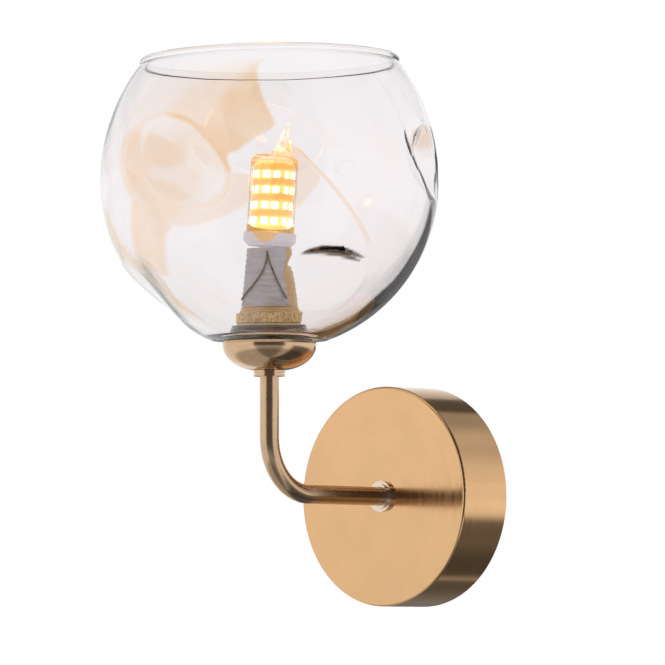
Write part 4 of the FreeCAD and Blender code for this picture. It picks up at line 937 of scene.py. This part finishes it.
def dress_all():
    dress(turned_brass("canopy_brass", canopy_brass, "Y", 0.14, 0.004), "canopy")
    dress(turned_brass("ferrule_brass", ferrule_brass, "Y", 0.12, 0.01), "canopy_ferrule")
    dress(turned_brass("cup_brass", cup_brass, "Z", 0.17, 0.006), "shade_cup", "arm_collar")
    dress(arm_metal(), "arm_tube")
    dress(holder_metal(), "lampholder_sleeve")
    dress(plain_metal("ring_brass", linear(176, 142, 92), linear(228, 200, 150), 0.24), "shade_ring")
    dress(plain_metal("washer_brass", linear(190, 160, 110), linear(226, 200, 156), 0.3), "ring_washer")
    dress(plain_metal("nut_brass", linear(196, 158, 92), linear(226, 190, 120), 0.3),
          "arm_rear_nut", "cup_nut", "lampholder_nut", "terminal_clamps")
    dress(plain_metal("clip_bronze", linear(96, 78, 60), linear(150, 122, 88), 0.32), "core_clip")
    dress(plain_metal("jaw_bronze", linear(176, 130, 84), linear(214, 170, 118), 0.3), "contact_jaws")
    dress(plain_metal("zinc_steel", linear(150, 154, 160), linear(206, 208, 212), 0.3, 0.3, 0.02),
          "wall_bracket", "backing_plate", "canopy_weld_nuts", "lampholder_bridge")
    dress(plain_metal("screw_steel", linear(150, 154, 160), linear(214, 215, 218), 0.25),
          "earth_screw", "terminal_screws", "block_fixing_screw", "core_screws", "toothed_washer",
          "earth_washer")
    dress(plain_metal("screw_brass", linear(170, 134, 84), linear(218, 182, 126), 0.28),
          "canopy_grub_screws")
    dress(plain_metal("tinned_tag", linear(184, 184, 186), linear(224, 224, 226), 0.28), "earth_tag")
    dress(plain_metal("pin_wire", linear(190, 190, 194), linear(230, 230, 232), 0.2), "lamp_pins")
    dress(moulded("black_rubber", linear(22, 22, 24), linear(38, 38, 40), 0.6), "cable_grommet")
    dress(moulded("white_nylon", linear(222, 220, 212), linear(238, 236, 230), 0.4), "terminal_block")
    dress(moulded("lead_brown", linear(96, 56, 34), linear(118, 70, 44), 0.4), "live_lead")
    dress(moulded("lead_blue", linear(40, 84, 152), linear(56, 104, 176), 0.4), "neutral_lead")
    dress(moulded("lead_green", linear(64, 140, 60), linear(196, 196, 52), 0.4, 0.12), "earth_lead")
    dress(moulded("white_ceramic", linear(226, 222, 214), linear(244, 241, 235), 0.25, 0.4, 0.01),
          "lampholder_core")
    dress(moulded("driver_resin", linear(48, 60, 52), linear(70, 84, 70), 0.35), "lamp_driver")
    dress(gasket_silicone(), "lower_gasket", "upper_gasket")
    dress(lamp_base_plastic(), "lamp_base")
    dress(board_painted_glow(), "lamp_board")


# Studio

def make_floor():
    """A wide pale floor well below the light, which hangs on a wall that isn't shown."""
    signs = [(-1, -1), (1, -1), (1, 1), (-1, 1)]
    corners = [(across * floor_reach, along * floor_reach, floor_height) for across, along in signs]
    material, graph, shader = new_material("floor_white")
    shader.inputs["Base Color"].default_value = (floor_white, floor_white, floor_white, 1.0)
    shader.inputs["Roughness"].default_value = 0.9
    shader.inputs["Specular IOR Level"].default_value = 0.0
    shader.inputs["Emission Color"].default_value = (1.0, 1.0, 1.0, 1.0)
    shader.inputs["Emission Strength"].default_value = floor_glow
    floor = mesh_object("floor", corners, [(0, 1, 2, 3)], material, smooth=False)
    floor.visible_glossy = False
    floor.visible_transmission = False


def make_world():
    """White for the camera and straight through the glass. Metal sees a studio with a bright horizon
    and the dark zones named above. Light trapped in the glass wall sees a pale room with its own dark
    zones, which draws the thick edge of the globe."""
    world = bpy.data.worlds.new("studio")
    bpy.context.scene.world = world
    world.use_nodes = True
    graph = Graph(world.node_tree)
    graph.output = graph.add("OutputWorld")
    background = graph.add("Background")
    graph.put(graph.output.inputs["Surface"], background.outputs[0])
    x, y, z = graph.split(graph.add("TexCoord").outputs["Generated"])
    elevation = graph.math("DEGREES", graph.math("ARCSINE", z))
    bearing = graph.math("DEGREES", graph.math("ARCTAN2", x, graph.math("MULTIPLY", y, -1.0)))

    def zone(middle, full_width, end_width, begin, full):
        """1 in the middle of a zone of bearings and elevations, 0 outside it."""
        away = graph.math("WRAP", graph.math("SUBTRACT", bearing, middle), 180.0, -180.0)
        beside = graph.smooth(graph.math("ABSOLUTE", away), full_width, end_width, 1.0, 0.0)
        return graph.math("MULTIPLY", beside, graph.smooth(elevation, begin, full))

    def dimmed(level, dark, share):
        """The level times share inside a dark zone, and as it was outside."""
        return graph.math("MULTIPLY", level, graph.smooth(dark, 0.0, 1.0, 1.0, share))

    streaks = graph.noise(graph.vector(graph.math("MULTIPLY", bearing, 0.02),
                                       graph.math("MULTIPLY", elevation, 0.12), 0.0), 1.0, 2.0)
    metal = graph.smooth(elevation, horizon_top, upper_room, 1.0, upper_room_level)
    metal = graph.math("MULTIPLY", metal, graph.smooth(streaks, 0.2, 0.8, 0.85, 1.08))
    for *place, share in metal_zones.values():
        metal = dimmed(metal, zone(*place), share)
    wall = graph.smooth(streaks, 0.3, 0.7, 0.78, 0.96)
    dark = 0.0
    for place in wall_zones.values():
        dark = graph.math("MAXIMUM", dark, zone(*place))
    wall = dimmed(wall, dark, wall_zone_level)

    path = graph.add("LightPath")
    bounced = graph.math("MINIMUM", path.outputs["Glossy Depth"], 1.0)
    scattered = graph.math("MINIMUM", path.outputs["Diffuse Depth"], 1.0)
    crossed = path.outputs["Transmission Depth"]
    in_wall = graph.math("MULTIPLY", graph.math("MINIMUM", crossed, 1.0),
                         graph.math("LESS_THAN", crossed, faces_of_wall))
    inside = graph.math("GREATER_THAN", crossed, faces_of_wall)
    lift = graph.math("MULTIPLY", graph.math("SUBTRACT", 1.0, metal), paler_inside)
    metal = graph.math("ADD", metal, graph.math("MULTIPLY", inside, lift))
    reflected = graph.mix(in_wall, graph.vector(metal, metal, metal), graph.vector(wall, wall, wall))
    strength = graph.mix(bounced, (1.0, 1.0, 1.0, 1.0), reflected)
    strength = graph.mix(scattered, strength, (diffuse_level, diffuse_level, diffuse_level, 1.0))
    graph.put(background.inputs["Color"], strength)


def make_light(name, place, size, power):
    """A soft square light that looks at the shade."""
    data = bpy.data.lights.new(name, "AREA")
    data.size = size
    data.energy = power
    lamp = bpy.data.objects.new(name, data)
    bpy.context.scene.collection.objects.link(lamp)
    lamp.location = place
    aim = Vector((0, stem_y * mm, (seat_top + globe_centre) * mm)) - lamp.location
    lamp.rotation_euler = aim.to_track_quat("-Z", "Y").to_euler()
    lamp.visible_glossy = False
    lamp.visible_camera = False
    lamp.visible_transmission = False


def make_camera():
    """The photograph's view, aimed beside the canopy's face."""
    bearing = math.radians(camera_bearing)
    elevation = math.radians(camera_elevation)
    back = Vector((math.sin(bearing) * math.cos(elevation), -math.cos(bearing) * math.cos(elevation),
                   math.sin(elevation)))
    right = Vector((math.cos(bearing), math.sin(bearing), 0))
    upward = back.cross(right)
    aim = Vector((0, canopy_face_y, 0)) - right * aim_left_of_face + upward * aim_above_face
    data = bpy.data.cameras.new("camera")
    data.lens = camera_lens
    data.sensor_width = camera_sensor
    data.clip_end = 100.0
    camera = bpy.data.objects.new("camera", data)
    bpy.context.scene.collection.objects.link(camera)
    camera.location = (aim + back * camera_distance) * mm
    camera.rotation_euler = (-back).to_track_quat("-Z", "Y").to_euler()
    bpy.context.scene.camera = camera


# The scene

dress_all()

globe = make_globe(globe_glass())
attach(globe, "shade")
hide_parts("glass_globe")

cover = make_lamp_cover(lamp_glass())
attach(cover, "lamp")
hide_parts("lamp_cover")

chips = make_chips(chip_light(), board_painted_glow())
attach(chips, "lamp")
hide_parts("lamp_chips")

make_floor()
make_world()
for name, (place, size, power) in lights.items():
    make_light(name, place, size, power)
make_camera()

bpy.context.scene.view_settings.view_transform = "Standard"
